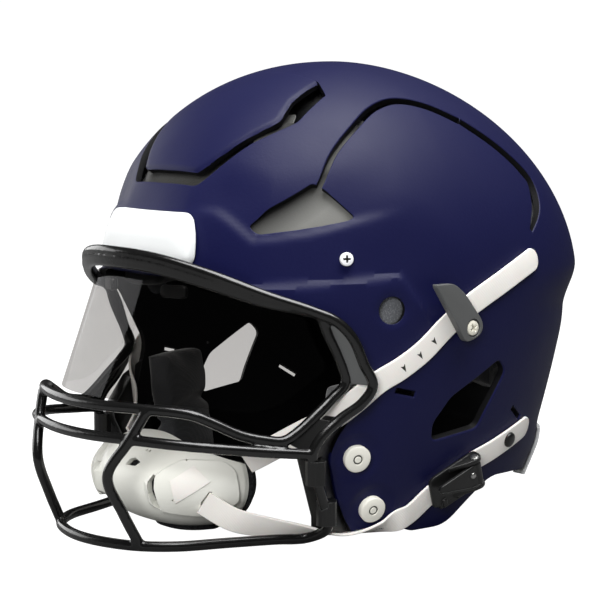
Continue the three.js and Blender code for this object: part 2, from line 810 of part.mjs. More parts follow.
const UPPER_FREE = [
  station([54.5, -106, 43], [1, -0.15, 0]),
  station([63, -97, 50], [0.75, -0.65, 0]),
  station([79, -86, 61], [0.62, -0.75, 0.1]),
  station([94, -78, 70], [0.75, -0.6, 0]),
  station([103, -70, 79], [0.9, -0.4, 0]),
];
const UPPER_ON_SHELL = [[-58, 89], [-46, 95.5], [-33, 104], [-18, 116.5], [-3, 126], [25, 138.5], [55, 150]];
const LOWER_FREE = [
  station([51.2, -128.6, 22.5], [0.9, -0.42, -0.1]),
  station([56, -116, 13.5], [0.9, -0.4, -0.15]),
  station([63, -100, 8.6], [0.8, -0.42, -0.43]),
  station([73, -82, 5.4], [0.55, -0.3, -0.78]),
  station([84, -64, 3], [0.12, -0.05, -1]),
  station([91.5, -43, 5.2], [0.6, 0, -0.8]),
  station([95.8, -33, 8.2], [0.97, -0.1, -0.2]),
];
const LOWER_ON_SHELL = [[-26, 11], [-15, 20], [-5, 27], [12, 36], [28, 41], [44, 46], [64, 52]];

function buildChinStrap() {
  add("chin_cup", cupLayer([CUP.wall, 0], 88, -72, 22, 66), white);
  add("chin_cup_liner", cupLayer([CUP.wall + 6, CUP.wall + 2 * GAP], 92, -78, 26, 70), foam);
  const jaw = layer([-60, -5], [-1, -0.86], [-(SHELL_WALL + GAP), GAP], 8, 3);
  const strapSpace = jaw.subtract(sidePrism([[-120, -5], [-120, 3.6], [40, 3.6], [40, -5]], 0, 150));
  const upper = ribbon([...UPPER_FREE, ...onShellStations(UPPER_ON_SHELL)], STRAP_WIDTH, STRAP_THICK);
  const lower = ribbon([...LOWER_FREE, ...onShellStations(LOWER_ON_SHELL)], STRAP_WIDTH, STRAP_THICK);
  addPair("upper_strap", upper, white);
  addPair("lower_strap", largest(lower.subtract(strapSpace).decompose()), white);
  const snapFrame = sideFrame(SNAP, [0, 1], STRAP_LIFT + STRAP_THICK + GAP);
  addPair("strap_snap", placed(disc(4.3, 0, 2.4), snapFrame), blackPlastic);
}

// ---- Upper strap arm: a keeper that swings about its screw ------------------------------------------

// Its outline is drawn from the screw: along the arm, then towards the front.
const ARM = {
  along: [-0.57, 0.82],
  outline: [
    [0, -7.6], [18, -6], [24.5, -4.2], [29, -2.2], [36, 7.6],
    [34.5, 8.4], [-3, 8.6], [-5.2, 4], [-6.4, -2], [-4.5, -6],
  ],
  low: 3.2,
  high: 7.6,
};

function buildStrapArm() {
  const origin = onSide(...ARM_SCREW);
  const along = new THREE.Vector3(0, ...ARM.along).normalize();
  const out = new THREE.Vector3(1, 0, 0);
  const frame = new THREE.Matrix4().makeBasis(along, out.clone().cross(along), out).setPosition(origin);
  const shape = new THREE.Shape(ARM.outline.map(([x, y]) => new THREE.Vector2(x, y)));
  const options = { depth: ARM.high - ARM.low, bevelEnabled: false };
  const plate = placed(new THREE.ExtrudeGeometry(shape, options).translate(0, 0, ARM.low), frame);
  const hole = placed(disc(2.1, -THROUGH, THROUGH, 10), frame);
  const counterbore = placed(disc(4.8, ARM.high - 1.6, ARM.high + 2, 14), frame);
  addPair("strap_arm", plate.subtract(hole).subtract(counterbore), blackPlastic);
  const head = frame.clone().multiply(new THREE.Matrix4().makeTranslation(0, 0, ARM.high - 1.3));
  addPair("arm_screw", screw(head, 4.2, 1.8, ARM.high + 3.5), steel);
}

// ---- Lower cam buckle: base, pin and lever -----------------------------------------------------------

const BUCKLE = { at: [-1.2, 29.4], along: [35, 17], length: 34, width: 21, low: 3.4, plate: 2, cheek: 3 };
const LEVER_PIN = { x: 13, z: 9, radius: 1.5 }; // its axis, in the buckle's frame, runs across the strap
const LEVER = { length: 27, width: 14.2, thick: 2.4, barrel: 3 };

function buildCamBuckle() {
  const frame = sideFrame(BUCKLE.at, BUCKLE.along);
  const onPin = (radius, length, segments) => {
    const rod = disc(radius, -length / 2, length / 2, segments).rotateX(Math.PI / 2);
    return placed(rod.translate(LEVER_PIN.x, 0, LEVER_PIN.z), frame);
  };
  const cheek = (side) => {
    const y = (side * (BUCKLE.width - BUCKLE.cheek)) / 2;
    return placed(box(20, BUCKLE.cheek, 8.6, 7, y, BUCKLE.low + 4.3), frame);
  };
  const plate = box(BUCKLE.length, BUCKLE.width, BUCKLE.plate, 0, 0, BUCKLE.low + BUCKLE.plate / 2);
  const pinHole = onPin(LEVER_PIN.radius + GAP, 40, 8);
  const base = placed(plate, frame).add(cheek(1)).add(cheek(-1)).subtract(pinHole);
  addPair("buckle_base", base, blackPlastic);
  addPair("lever_pin", onPin(LEVER_PIN.radius, BUCKLE.width, 8), steel);
  const barrel = onPin(LEVER.barrel, LEVER.width, 12);
  const blade = box(
    LEVER.length,
    LEVER.width,
    LEVER.thick,
    LEVER_PIN.x - LEVER.length / 2,
    0,
    LEVER_PIN.z + LEVER.thick / 2,
  );
  addPair("cam_lever", barrel.add(placed(blade, frame)).subtract(pinHole), blackPlastic);
}

// ---- Shell fasteners and inflation valve ------------------------------------------------------------

function buildFittings() {
  addPair("shell_screw", screw(sideFrame(SHELL_SCREW, [0, 1], GAP), 3.7, 1.4, 6), white);
  const top = onTop(0, 100, 0);
  const out = normalAt(top);
  const right = new THREE.Vector3(1, 0, 0);
  const frame = new THREE.Matrix4().makeBasis(right, out.clone().cross(right), out).setPosition(top);
  frame.multiply(new THREE.Matrix4().makeTranslation(0, 0, GAP));
  const valve = placed(disc(5, 0, 1.2, 18), frame).subtract(placed(disc(1.2, 0.4, 3, 10), frame));
  add("inflation_valve", valve, blackPlastic);
}

buildShell();
buildBumpers();
buildLiner();
buildClips();
buildVisor();
buildChinStrap();
buildStrapArm();
buildCamBuckle();
buildFittings();

helmet.position.y = -LENGTH_CENTRE;

export default helmet;
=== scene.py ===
import math
from contextlib import contextmanager

import bmesh
import bpy
import numpy as np
from mathutils import Matrix, Vector


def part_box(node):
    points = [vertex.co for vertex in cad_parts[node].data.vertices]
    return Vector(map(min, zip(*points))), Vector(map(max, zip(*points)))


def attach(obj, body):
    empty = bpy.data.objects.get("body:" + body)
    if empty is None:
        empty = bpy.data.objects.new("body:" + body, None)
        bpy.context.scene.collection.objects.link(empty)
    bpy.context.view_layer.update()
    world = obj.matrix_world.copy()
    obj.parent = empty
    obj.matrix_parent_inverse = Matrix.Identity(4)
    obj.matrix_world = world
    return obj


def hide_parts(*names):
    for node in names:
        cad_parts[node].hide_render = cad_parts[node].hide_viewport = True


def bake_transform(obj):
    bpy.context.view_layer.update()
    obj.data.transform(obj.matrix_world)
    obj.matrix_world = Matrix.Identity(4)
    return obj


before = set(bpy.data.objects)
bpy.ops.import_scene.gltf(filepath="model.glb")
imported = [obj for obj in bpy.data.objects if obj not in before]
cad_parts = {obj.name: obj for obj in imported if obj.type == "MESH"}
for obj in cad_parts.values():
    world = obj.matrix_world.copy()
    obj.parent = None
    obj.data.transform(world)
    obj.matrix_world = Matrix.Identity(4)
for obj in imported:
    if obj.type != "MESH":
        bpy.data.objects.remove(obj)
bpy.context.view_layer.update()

# ---- Dimensions, in millimetres, drawn with y = 0 at the shell's widest station ----

MM = 0.001
HALF_WIDTH, FRONT, REAR, WIDEST, CROWN = 118, 137, 155, 131, 259
NECK = 141.4  # the rear's reach below the widest level
SHELL_WALL = 4
# Powers of the superellipses in plan and, from the side's to the front's and rear's, in elevation.
PLAN_POWER, SIDE_POWER, FRONT_POWER, REAR_POWER = 2.29, 2.07, 2.08, 1.81
CENTRE = np.array([0.0, 0.0, 110.0])
WIRE = 2.9  # radius
ARM_SCREW = (-4.5, 115)
STRAP_LIFT, STRAP_WIDTH, STRAP_THICK = 0.5, 13.2, 1.6

# How far the frame's y is ahead of the drawn y.
screw_low, screw_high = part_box("arm_screw_left")
SHIFT = (screw_low.y + screw_high.y) / 2 / MM - ARM_SCREW[0]

# Outlines and points on the shell: (y, z) from the side, but (x, z) from the front for the panel's outlines
# and (x, y) from above for its root.
FACE_OPENING = [(-260, 144), (-128, 143.5), (-112, 137), (-84, 124.5), (-72, 108), (-61, 90), (-68, 75),
                (-77, 58), (-79, 48), (-74, 30), (-67, 14), (-58, 2), (-52, -40), (-260, -40)]
UNDER_EDGE = [(-260, -40), (-260, 4), (-29, 4), (-22, 0), (4, 0), (17, 12), (34, 25), (60, 23.5), (88, 19.5),
              (120, 18.5), (260, 18.5), (260, -40)]
PANEL_ROOT = (39.5, -43)
PANEL_OPENING = [(52.5, 240), (58, 225.5), (53.5, 220.5), (46.5, 214.3), (40, 205.2), (33, 196.5),
                 (28.5, 191.7), (0, 192.5)]
PANEL_EDGE = [(43.5, 237.5), (50, 226.5), (43.5, 220), (37, 212.5), (30.5, 205), (25, 199), (0, 200)]
FRONT_VENT = [(-113, 173), (-111, 169), (-70, 176), (-67, 178), (-78, 192), (-82, 195), (-104, 182)]
SIDE_SLOT = [(-80, 193), (-66, 210), (-47, 224), (-30, 233), (-12, 237), (8, 234), (29, 225)]
REAR_SLOT = [(29, 225), (50, 211), (66, 197), (71, 190), (68, 178), (56, 164)]
LOWER_VENT = [(-19, 52), (-20, 62), (-9, 76), (26, 94), (32, 87), (18, 64), (14, 56)]
SLITS = [[(-47, 83), (-35, 80)], [(44, 64), (54, 57)]]
EAR, EAR_RADIUS = (-52, 127), 7.5
SHELL_SCREW = (-75, 155)
DISCS = {"upper": (-65, 47), "lower": (-51, 17)}
SNAP = (43, 46)
SIDES = {"left": 1, "right": -1}

# ---- The shell's surface ----------------------------------


def spow(value, power):
    return np.sign(value) * np.abs(value) ** power


def smooth(value, low, high):
    t = np.clip((np.asarray(value, float) - low) / (high - low), 0, 1)
    return t * t * (3 - 2 * t)


def side_width(z):
    return HALF_WIDTH * (1 - 0.21 * np.maximum(0, (WIDEST - z) / WIDEST) ** 1.8)


def ramp(t, corner):
    """0 below 0 and t above it, with the corner between them rounded over."""
    return np.where(t <= -corner, 0, np.where(t >= corner, t, (t + corner) ** 2 / (4 * corner)))


def rear_length(z):
    taper = 0.28 * (ramp(107 - z, 8) - ramp(48 - z, 5)) + 0.5 * ramp(35 - z, 3)
    return NECK + (REAR - NECK) * smooth(z, WIDEST - 16, WIDEST + 11) - taper


def surface(turn, level):
    """Outer surface: turn in radians from the wearer's left, level -1 base, 0 widest, 1 crown."""
    turn, level = np.broadcast_arrays(np.asarray(turn, float), np.asarray(level, float))
    forward = np.sin(turn) < 0
    across = spow(np.cos(turn), 2 / PLAN_POWER)
    along = spow(np.sin(turn), 2 / PLAN_POWER)
    rise = np.maximum(0, level) * math.pi / 2
    end = np.where(forward, FRONT_POWER, REAR_POWER)
    profile = 2 / (SIDE_POWER + (end - SIDE_POWER) * np.abs(along))
    shrink = np.maximum(0, np.cos(rise)) ** profile
    z = np.where(level <= 0, WIDEST * (1 + level), WIDEST + (CROWN - WIDEST) * np.sin(rise) ** profile)
    length = np.where(forward, FRONT, rear_length(z))
    return np.stack([side_width(z) * across * shrink, length * along * shrink, z], -1)


def outside(p):
    """Below zero inside the outer surface, above zero outside it."""
    x, y, z = p[..., 0], p[..., 1], p[..., 2]
    length = np.where(y < 0, FRONT, rear_length(z))
    reach = (np.abs(x / side_width(z)) ** PLAN_POWER + np.abs(y / length) ** PLAN_POWER) ** (1 / PLAN_POWER)
    share = np.minimum(1, np.abs(y) / (length * np.maximum(reach, 1e-6)))
    profile = SIDE_POWER + (np.where(y < 0, FRONT_POWER, REAR_POWER) - SIDE_POWER) * share
    dome = reach ** profile + (np.maximum(0, z - WIDEST) / (CROWN - WIDEST)) ** profile - 1
    return np.where(z <= WIDEST, reach - 1, dome)


def normals(p):
    n = np.stack([outside(p + step) - outside(p - step) for step in np.eye(3) * 0.4], -1)
    return n / np.maximum(np.linalg.norm(n, axis=-1, keepdims=True), 1e-12)


def onto(points, axis, start, sign, reach):
    """Carries points of a side, front or top view along the third axis, up to the surface from inside."""
    p = np.insert(np.atleast_2d(np.asarray(points, float)), axis, start, axis=1)
    step = np.eye(3)[axis] * sign
    low, high = np.zeros(len(p)), np.full(len(p), float(reach))
    for _ in range(40):
        middle = (low + high) / 2
        inside = outside(p + step * middle[:, None]) < 0
        low, high = np.where(inside, middle, low), np.where(inside, high, middle)
    return p + step * low[:, None]


def on_side(yz, lift=0.0):
    p = onto(yz, 0, 0, 1, HALF_WIDTH + 2)
    return p + normals(p) * lift


def on_front(xz):
    return onto(xz, 1, 0, -1, FRONT + 2)


def on_top(xy):
    return onto(xy, 2, WIDEST, 1, CROWN - WIDEST + 2)


def line_distance(p, line, closed=False):
    line = np.asarray(line, float)
    best = np.full(p.shape[:-1], 1e9)
    for a, b in zip(line, np.roll(line, -1, 0) if closed else line[1:]):
        t = np.clip(((p - a) @ (b - a)) / max((b - a) @ (b - a), 1e-9), 0, 1)
        best = np.minimum(best, np.linalg.norm(p - (a + t[..., None] * (b - a)), axis=-1))
    return best


def inside_polygon(p, polygon):
    x, y = p[..., 0], p[..., 1]
    odd = np.zeros(x.shape, bool)
    for (x1, y1), (x2, y2) in zip(polygon, np.roll(polygon, -1, 0)):
        if y1 != y2:
            odd ^= ((y1 > y) != (y2 > y)) & (x < (x2 - x1) * (y - y1) / (y2 - y1) + x1)
    return odd


# Side-view outlines of the two stepped regions: the lower side plate, and everything below the vent ledge.
PLATE = [(-150, 137), (-104, 140), (-89, 141), (-50, 144), (-46, 144), (-31, 123), (-24, 112), (-16, 60),
         (-20, -20), (-200, -20), (-200, 137)]
LEDGE = [(-121, 178), (-116, 167), (-113, 163), (-87, 168), (-68, 173), (-46, 177), (-10, 184), (60, 190),
         (60, -20), (-220, -20), (-220, 178)]
PLATE_STEP, LEDGE_STEP, DISH_DEPTH = 2.9, 2.7, 0.8


def relief(p):
    """How far the moulded outer surface stands out of the plain form: steps, dished seats and soft folds."""
    y, z = p[..., 1], p[..., 2]
    side = smooth(np.abs(p[..., 0]), 25, 50)

    def step(outline, width, low, high):
        away = np.where(inside_polygon(p[..., 1:], outline), 0, line_distance(p[..., 1:], outline, True))
        return np.clip(away / width, 0, 1) * (1 - smooth(away, low, high))

    out = -PLATE_STEP * step(PLATE, 2.8, 6, 46) * smooth(z, 104, 126) * side * (1 - smooth(y, -12, 6))
    out = out - LEDGE_STEP * step(LEDGE, 4.2, 8, 34) * side * (1 - smooth(y, -78, -34))
    seats = [(at, 10.5, 14.5) for at in DISCS.values()] + [(EAR, EAR_RADIUS, EAR_RADIUS + 2.2)]
    for centre, low, high in seats:
        out = out - DISH_DEPTH * (1 - smooth(np.hypot(y - centre[0], z - centre[1]), low, high)) * side
    return out


# ---- Mesh helpers -----------------------------------------


def place(points):
    """Drawn millimetres as metres in the frame."""
    p = np.array(points, float)
    p[..., 1] += SHIFT
    return p * MM


def linked(name, data):
    obj = bpy.data.objects.new(name, data)
    bpy.context.scene.collection.objects.link(obj)
    return obj


@contextmanager
def editing(mesh):
    work = bmesh.new()
    work.from_mesh(mesh)
    yield work
    work.to_mesh(mesh)
    work.free()


def new_object(name, verts, faces, weld=False):
    mesh = bpy.data.meshes.new(name)
    mesh.from_pydata(place(verts).tolist(), [], faces)
    with editing(mesh) as work:
        if weld:
            bmesh.ops.remove_doubles(work, verts=work.verts, dist=1e-6)
        bmesh.ops.recalc_face_normals(work, faces=work.faces)
    return linked(name, mesh)


def grid_faces(rows, cols, wrap):
    r, c = np.meshgrid(np.arange(rows - 1), np.arange(cols if wrap else cols - 1), indexing="ij")
    n = (c + 1) % cols
    return np.stack([r * cols + c, r * cols + n, (r + 1) * cols + n, (r + 1) * cols + c], -1).reshape(-1, 4)


def skin(name, outer, inner, wrap=False, weld=False):
    """A closed body between two grids of points of the same shape (rows, columns, 3)."""
    rows, cols = outer.shape[:2]
    count = rows * cols
    quads = grid_faces(rows, cols, wrap)
    faces = quads.tolist() + (quads[:, ::-1] + count).tolist()
    index = np.arange(count).reshape(rows, cols)
    rims = [np.append(row, row[0]) for row in index[[0, -1]]] if wrap else [*index[[0, -1]], *index.T[[0, -1]]]
    for rim in rims:
        a, b = rim[:-1], rim[1:]
        faces += np.stack([a, b, count + b, count + a], -1).tolist()
    return new_object(name, np.concatenate([outer.reshape(-1, 3), inner.reshape(-1, 3)]), faces, weld)


def bake(obj):
    graph = bpy.context.evaluated_depsgraph_get()
    mesh = bpy.data.meshes.new_from_object(obj.evaluated_get(graph))
    old = obj.data
    obj.modifiers.clear()
    obj.data = mesh
    bpy.data.meshes.remove(old)


def combine(obj, other, operation="DIFFERENCE"):
    mod = obj.modifiers.new("combine", "BOOLEAN")
    mod.operation, mod.object, mod.solver = operation, other, "MANIFOLD"
    bake(obj)
    bpy.data.objects.remove(other)
    return obj


def remeshed(obj, voxel, passes):
    """Rebuilds a body from voxels and smooths it."""
    mod = obj.modifiers.new("voxels", "REMESH")
    mod.mode, mod.voxel_size = "VOXEL", voxel * MM
    mod = obj.modifiers.new("soft", "SMOOTH")
    mod.factor, mod.iterations = 0.5, passes
    bake(obj)


def joined(objects):
    """Several closed bodies that don't overlap, as one object."""
    first, *others = objects
    with editing(first.data) as work:
        for obj in others:
            work.from_mesh(obj.data)
    for obj in others:
        bpy.data.objects.remove(obj)
    return first


def mirror(obj, name):
    mesh = obj.data.copy()
    mesh.transform(Matrix.Scale(-1, 4, (1, 0, 0)))
    mesh.flip_normals()
    return linked(name, mesh)


def both(obj):
    return joined([obj, mirror(obj, "twin")])


def finish(obj, look, stands_for=(), angle=40, body="shell"):
    """Gives a piece its material and its body (None leaves it unattached), and hides the nodes it replaces."""
    material, slot = look
    mesh = obj.data
    mesh.materials.clear()
    mesh.materials.append(material)
    mesh.polygons.foreach_set("use_smooth", [True] * len(mesh.polygons))
    mesh.set_sharp_from_angle(angle=math.radians(angle))
    if body:
        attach(obj, body)
    if stands_for:
        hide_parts(*stands_for)


def pair(obj, base, look, stands_for=(), angle=40, body="shell"):
    """Finishes a piece made for the wearer's left, and its mirror image; {} stands for the side."""
    obj.name = base + "_left"
    twin = mirror(obj, base + "_right")
    for item, side in ((obj, "left"), (twin, "right")):
        finish(item, look, [node.format(side) for node in stands_for], angle, body.format(side))


def round_corners(points, radius, steps=5, closed=True):
    """Replaces each corner of a line with a short curve."""
    pts = np.asarray(points, float)
    out = []
    for i, p in enumerate(pts):
        if not closed and i in (0, len(pts) - 1):
            out.append(p)
            continue
        before, after = pts[i - 1] - p, pts[(i + 1) % len(pts)] - p
        la, lb = np.linalg.norm(before), np.linalg.norm(after)
        r = min(radius, la * 0.45, lb * 0.45)
        a, b = p + before / la * r, p + after / lb * r
        for t in np.arange(steps + 1) / steps:
            out.append(a * (1 - t) ** 2 + p * 2 * t * (1 - t) + b * t * t)
    return np.array(out)


def dense(points, step, closed=True):
    """Adds points to a line, so that none is further than about a step from the next."""
    pts = np.asarray(points, float)
    out = []
    for a, b in zip(pts, np.roll(pts, -1, 0) if closed else pts[1:]):
        count = max(1, int(np.linalg.norm(b - a) / step))
        out.extend(a + (b - a) * k / count for k in range(count))
    return np.array(out if closed else out + [pts[-1]])


def loft(name, rings):
    """A closed body through rings with the same number of points; the ends are capped."""
    count = len(rings[0])
    last = (len(rings) - 1) * count
    sides = grid_faces(len(rings), count, True).tolist()
    faces = [list(range(count)), list(range(last + count - 1, last - 1, -1))] + sides
    return new_object(name, np.concatenate(rings), faces)


def prism(outline, axis, low, high):
    """A side-view (axis 0) or front-view (axis 1) outline as a closed prism, for a boolean."""
    return loft("cutter", [np.insert(np.asarray(outline, float), axis, end, axis=1) for end in (low, high)])


CUT_FROM, CUT_TO = 0.72, 1.2  # of the way from the centre to the surface
CUT_PAST = 30


def radial_cutter(ring, chamfer=0.0):
    """Cuts the shell along rays from its centre, with a chamfer round the outer edge."""
    ring = np.asarray(ring, float)
    arms = ring - CENTRE
    if not chamfer:
        return loft("cutter", [CENTRE + arms * CUT_FROM, CENTRE + arms * CUT_TO])
    away = np.cross(np.roll(ring, -1, 0) - np.roll(ring, 1, 0), normals(ring))
    away /= np.maximum(np.linalg.norm(away, axis=1, keepdims=True), 1e-9)
    if np.sum(away * (ring - ring.mean(0))) < 0:
        away = -away
    depth = arms / np.linalg.norm(arms, axis=1, keepdims=True)
    wide = ring + away * chamfer * 1.3
    return loft("cutter", [CENTRE + arms * CUT_FROM, ring - depth * chamfer, wide + depth * chamfer * 0.3,
                           wide + depth * CUT_PAST])


def slot_ring(line, width):
    line = np.asarray(line, float)
    ahead = np.concatenate([line[1:], line[-1:]]) - np.concatenate([line[:1], line[:-1]])
    across = np.cross(ahead, normals(line))
    across *= np.reshape(width, (-1, 1)) / 2 / np.linalg.norm(across, axis=1, keepdims=True)
    return np.concatenate([line + across, (line - across)[::-1]])


def catmull(points, steps, closed=False):
    """Centripetal Catmull-Rom curve through points, with steps samples a span."""
    pts = np.asarray(points, float)
    ends = (pts[-1:], pts[:2]) if closed else (2 * pts[:1] - pts[1:2], 2 * pts[-1:] - pts[-2:-1])
    pts = np.concatenate([ends[0], pts, ends[1]])
    out = []
    for i in range(len(pts) - 3):
        p = pts[i:i + 4]
        at = np.concatenate([[0], np.cumsum(np.linalg.norm(np.diff(p[:, :3], axis=0), axis=1) ** 0.5)])
        for t in at[1] + (at[2] - at[1]) * np.arange(steps) / steps:
            def between(a, b, low, high):
                return (high - t) / (high - low) * a + (t - low) / (high - low) * b
            a1, a2, a3 = (between(p[k], p[k + 1], at[k], at[k + 1]) for k in range(3))
            b1, b2 = between(a1, a2, at[0], at[2]), between(a2, a3, at[1], at[3])
            out.append(between(b1, b2, at[1], at[2]))
    return np.array(out if closed else out + [pts[-2]])


def unit(vectors):
    return vectors / np.linalg.norm(vectors, axis=-1, keepdims=True)


def sweep(name, path, profile, side_hint=None, closed=False):
    """Sweeps a closed (u, v) profile along a path; side_hint gives each station's v direction."""
    path, profile = np.asarray(path, float), np.asarray(profile, float)
    count = len(path)
    ahead = unit(np.roll(path, -1, 0) - np.roll(path, 1, 0) if closed else np.gradient(path, axis=0))
    if side_hint is None:
        v = np.zeros_like(path)
        v[0] = unit(np.cross(ahead[0], (0.3, 0.9, 0.31)))
        for i in range(1, count):
            v[i] = unit(v[i - 1] - ahead[i] * (v[i - 1] @ ahead[i]))
    else:
        v = unit(side_hint - ahead * np.sum(side_hint * ahead, axis=1, keepdims=True))
    u = np.cross(v, ahead)
    rings = path[:, None] + profile[..., :1] * u[:, None] + profile[..., 1:] * v[:, None]
    if not closed:
        return loft(name, rings)
    size = rings.shape[1]
    faces = grid_faces(count + 1, size, True) % (count * size)
    return new_object(name, rings.reshape(-1, 3), faces.tolist())


def circle(radius, count):
    t = np.arange(count) / count * 2 * math.pi
    return np.column_stack([radius * np.cos(t), radius * np.sin(t)])


def frame_at(origin, out, x):
    """4x4 of a frame with its Z axis along out and its X axis as near as it can be to x."""
    out, x = unit(np.asarray(out, float)), np.asarray(x, float)
    x = unit(x - out * (x @ out))
    made = np.eye(4)
    made[:3, :] = np.column_stack([x, np.cross(out, x), out, origin])
    return made


def side_frame(at, along, lift=0.0):
    """A frame on the wearer's left of the shell: X along a side-view direction, Z out of the shell."""
    return frame_at(on_side([at], lift)[0], normals(on_side([at]))[0], (0, *along))


def moved(points, matrix):
    return np.asarray(points, float) @ matrix[:3, :3].T + matrix[:3, 3]


def ring_at(outline, height, matrix):
    """An outline in a frame's XY plane, at a height on its Z axis."""
    return moved(np.insert(np.asarray(outline, float), 2, height, axis=1), matrix)


def lathe(name, matrix, profile, segments=48):
    """Turns (radius, height) pairs about a frame's Z axis; a radius of 0 closes an end."""
    rings = [ring_at(circle(max(radius, 1e-4), segments), height, matrix) for radius, height in profile]
    return loft(name, rings)


def plate(name, matrix, outline, low, high, bevel=0.5, segments=3):
    """A flat plate with its edges rounded, from an outline in a frame's XY plane."""
    obj = loft(name, [ring_at(outline, height, matrix) for height in (low, high)])
    if bevel:
        with editing(obj.data) as work:
            rim = [e for e in work.edges if any(len(f.verts) > 4 for f in e.link_faces)]
            bmesh.ops.bevel(work, geom=rim, offset=bevel * MM, segments=segments, profile=0.5, affect="EDGES",
                            clamp_overlap=True)
            bmesh.ops.recalc_face_normals(work, faces=work.faces)
    return obj


def rounded_rectangle(width, height, radius, x=0.0, y=0.0):
    w, h = width / 2, height / 2
    return round_corners([(x - w, y - h), (x + w, y - h), (x + w, y + h), (x - w, y + h)], radius * 1.3)


# ---- Materials --------------------------------------------


def srgb(*color):
    """The linear RGBA of a colour given from 0 to 255."""
    linear = (v / 12.92 if v <= 0.04045 else ((v + 0.055) / 1.055) ** 2.4 for v in np.array(color) / 255)
    return (*linear, 1.0)


class Nodes:
    """A small builder for a material's node tree; inputs are values or other nodes' outputs."""

    def __init__(self, name):
        self.material = bpy.data.materials.new(name)
        self.material.use_nodes = True
        self.tree = self.material.node_tree
        self.shader = self.tree.nodes["Principled BSDF"]
        self.coordinates = self.add("TexCoord").outputs["Object"]

    def feed(self, node, inputs):
        for key, value in inputs.items():
            if isinstance(value, (int, float, tuple)):
                node.inputs[key].default_value = value
            else:
                self.tree.links.new(value, node.inputs[key])

    def add(self, kind, inputs=None, **settings):
        node = self.tree.nodes.new("ShaderNode" + kind)
        for key, value in settings.items():
            setattr(node, key, value)
        self.feed(node, inputs or {})
        return node

    def made(self, inputs):
        """Feeds the shader and returns the material."""
        self.feed(self.shader, inputs)
        return self.material

    def noise(self, scale, detail=2.0, stretch=None):
        vector = self.coordinates
        if stretch:
            vector = self.add("Mapping", {"Scale": stretch, "Vector": vector}).outputs["Vector"]
        return self.add("TexNoise", {"Scale": scale, "Detail": detail, "Vector": vector}).outputs["Fac"]

    def waves(self, direction, scale, distortion):
        inputs = {"Scale": scale, "Distortion": distortion, "Vector": self.coordinates}
        return self.add("TexWave", inputs, wave_type="BANDS", bands_direction=direction).outputs["Fac"]

    def spread(self, value, low, high, start=0.0, end=1.0):
        """Maps start to end onto low to high, and holds it there beyond them."""
        inputs = {"Value": value, "From Min": start, "From Max": end, "To Min": low, "To Max": high}
        return self.add("MapRange", inputs).outputs["Result"]

    def maths(self, operation, a, b):
        return self.add("Math", {0: a, 1: b}, operation=operation).outputs[0]

    def times(self, a, b):
        return self.maths("MULTIPLY", a, b)

    def mix(self, factor, a, b):
        """Mixes two colours, each of them 0 to 255 in three, linear in four, or an output."""
        a, b = (srgb(*color) if isinstance(color, tuple) and len(color) == 3 else color for color in (a, b))
        return self.add("Mix", {0: factor, 6: a, 7: b}, data_type="RGBA").outputs[2]

    def bump(self, height, strength, distance, normal=None):
        inputs = {"Height": height, "Strength": strength, "Distance": distance}
        return self.add("Bump", {**inputs, "Normal": normal} if normal else inputs).outputs["Normal"]

    def soft_edges(self, radius):
        return self.add("Bevel", {"Radius": radius}, samples=6).outputs["Normal"]

    def edge_wear(self, radius, share):
        """The share on sharp edges, 0 on open surfaces."""
        normal = self.add("NewGeometry").outputs["Normal"]
        dot = self.add("VectorMath", {0: self.soft_edges(radius), 1: normal}, operation="DOT_PRODUCT")
        turned = self.maths("SUBTRACT", 1.0, dot.outputs["Value"])
        return self.times(self.maths("MINIMUM", self.spread(turned, 0.0, 1.0, 0.02, 0.3), 1.0), share)


def painted_shell():
    n = Nodes("navy_paint")
    speck = n.noise(2600, 1)
    base = n.mix(n.noise(9, 3), (10, 12, 52), (14, 16, 58))
    base = n.mix(n.times(n.spread(speck, 0, 1, 0.55, 0.75), 0.16), base, (38, 42, 84))
    # Painted highlight: the sharp edges turn a lighter navy.
    base = n.mix(n.edge_wear(0.0009, 0.3), base, (58, 62, 112))
    normal = n.bump(n.noise(620, 2), 0.10, 0.0006, n.soft_edges(0.0008))
    return n.made({"Base Color": base, "Roughness": n.spread(n.noise(40, 3), 0.5, 0.6),
                   "Specular IOR Level": 0.27, "Normal": n.bump(speck, 0.08, 0.0002, normal)})


def moulded(name, color, other, roughness, grain, depth, edge=None, soft=0.0005, specular=0.5):
    """Moulded plastic: fine sparked grain, slight colour variation, and an edge colour on the sharp edges; an
    edge colour lighter than the base is a painted highlight.
    """
    n = Nodes(name)
    base = n.mix(n.noise(30, 3), color, other)
    if edge:
        base = n.mix(n.edge_wear(soft * 1.3, 0.5), base, edge)
    return n.made({"Base Color": base, "Roughness": n.spread(n.noise(70, 3), *roughness),
                   "Specular IOR Level": specular,
                   "Normal": n.bump(n.noise(grain, 2), depth, 0.0003, n.soft_edges(soft))})


def powder_coat():
    n = Nodes("black_powder_coat")
    return n.made({"Base Color": n.mix(n.noise(60, 3), (9, 9, 9), (16, 16, 16)),
                   "Roughness": n.spread(n.noise(90, 3), 0.2, 0.3), "Coat Weight": 0.35, "Coat Roughness": 0.12,
                   "Normal": n.bump(n.noise(900, 2), 0.10, 0.0004)})


def steel():
    n = Nodes("brushed_steel")
    brushed = n.bump(n.noise(2400, 2, (1, 1, 14)), 0.12, 0.0002, n.soft_edges(0.0003))
    return n.made({"Base Color": n.mix(n.noise(50, 3), (196, 196, 192), (168, 168, 166)), "Metallic": 1.0,
                   "Roughness": n.spread(n.noise(900, 2, (1, 1, 12)), 0.22, 0.42), "Normal": brushed})


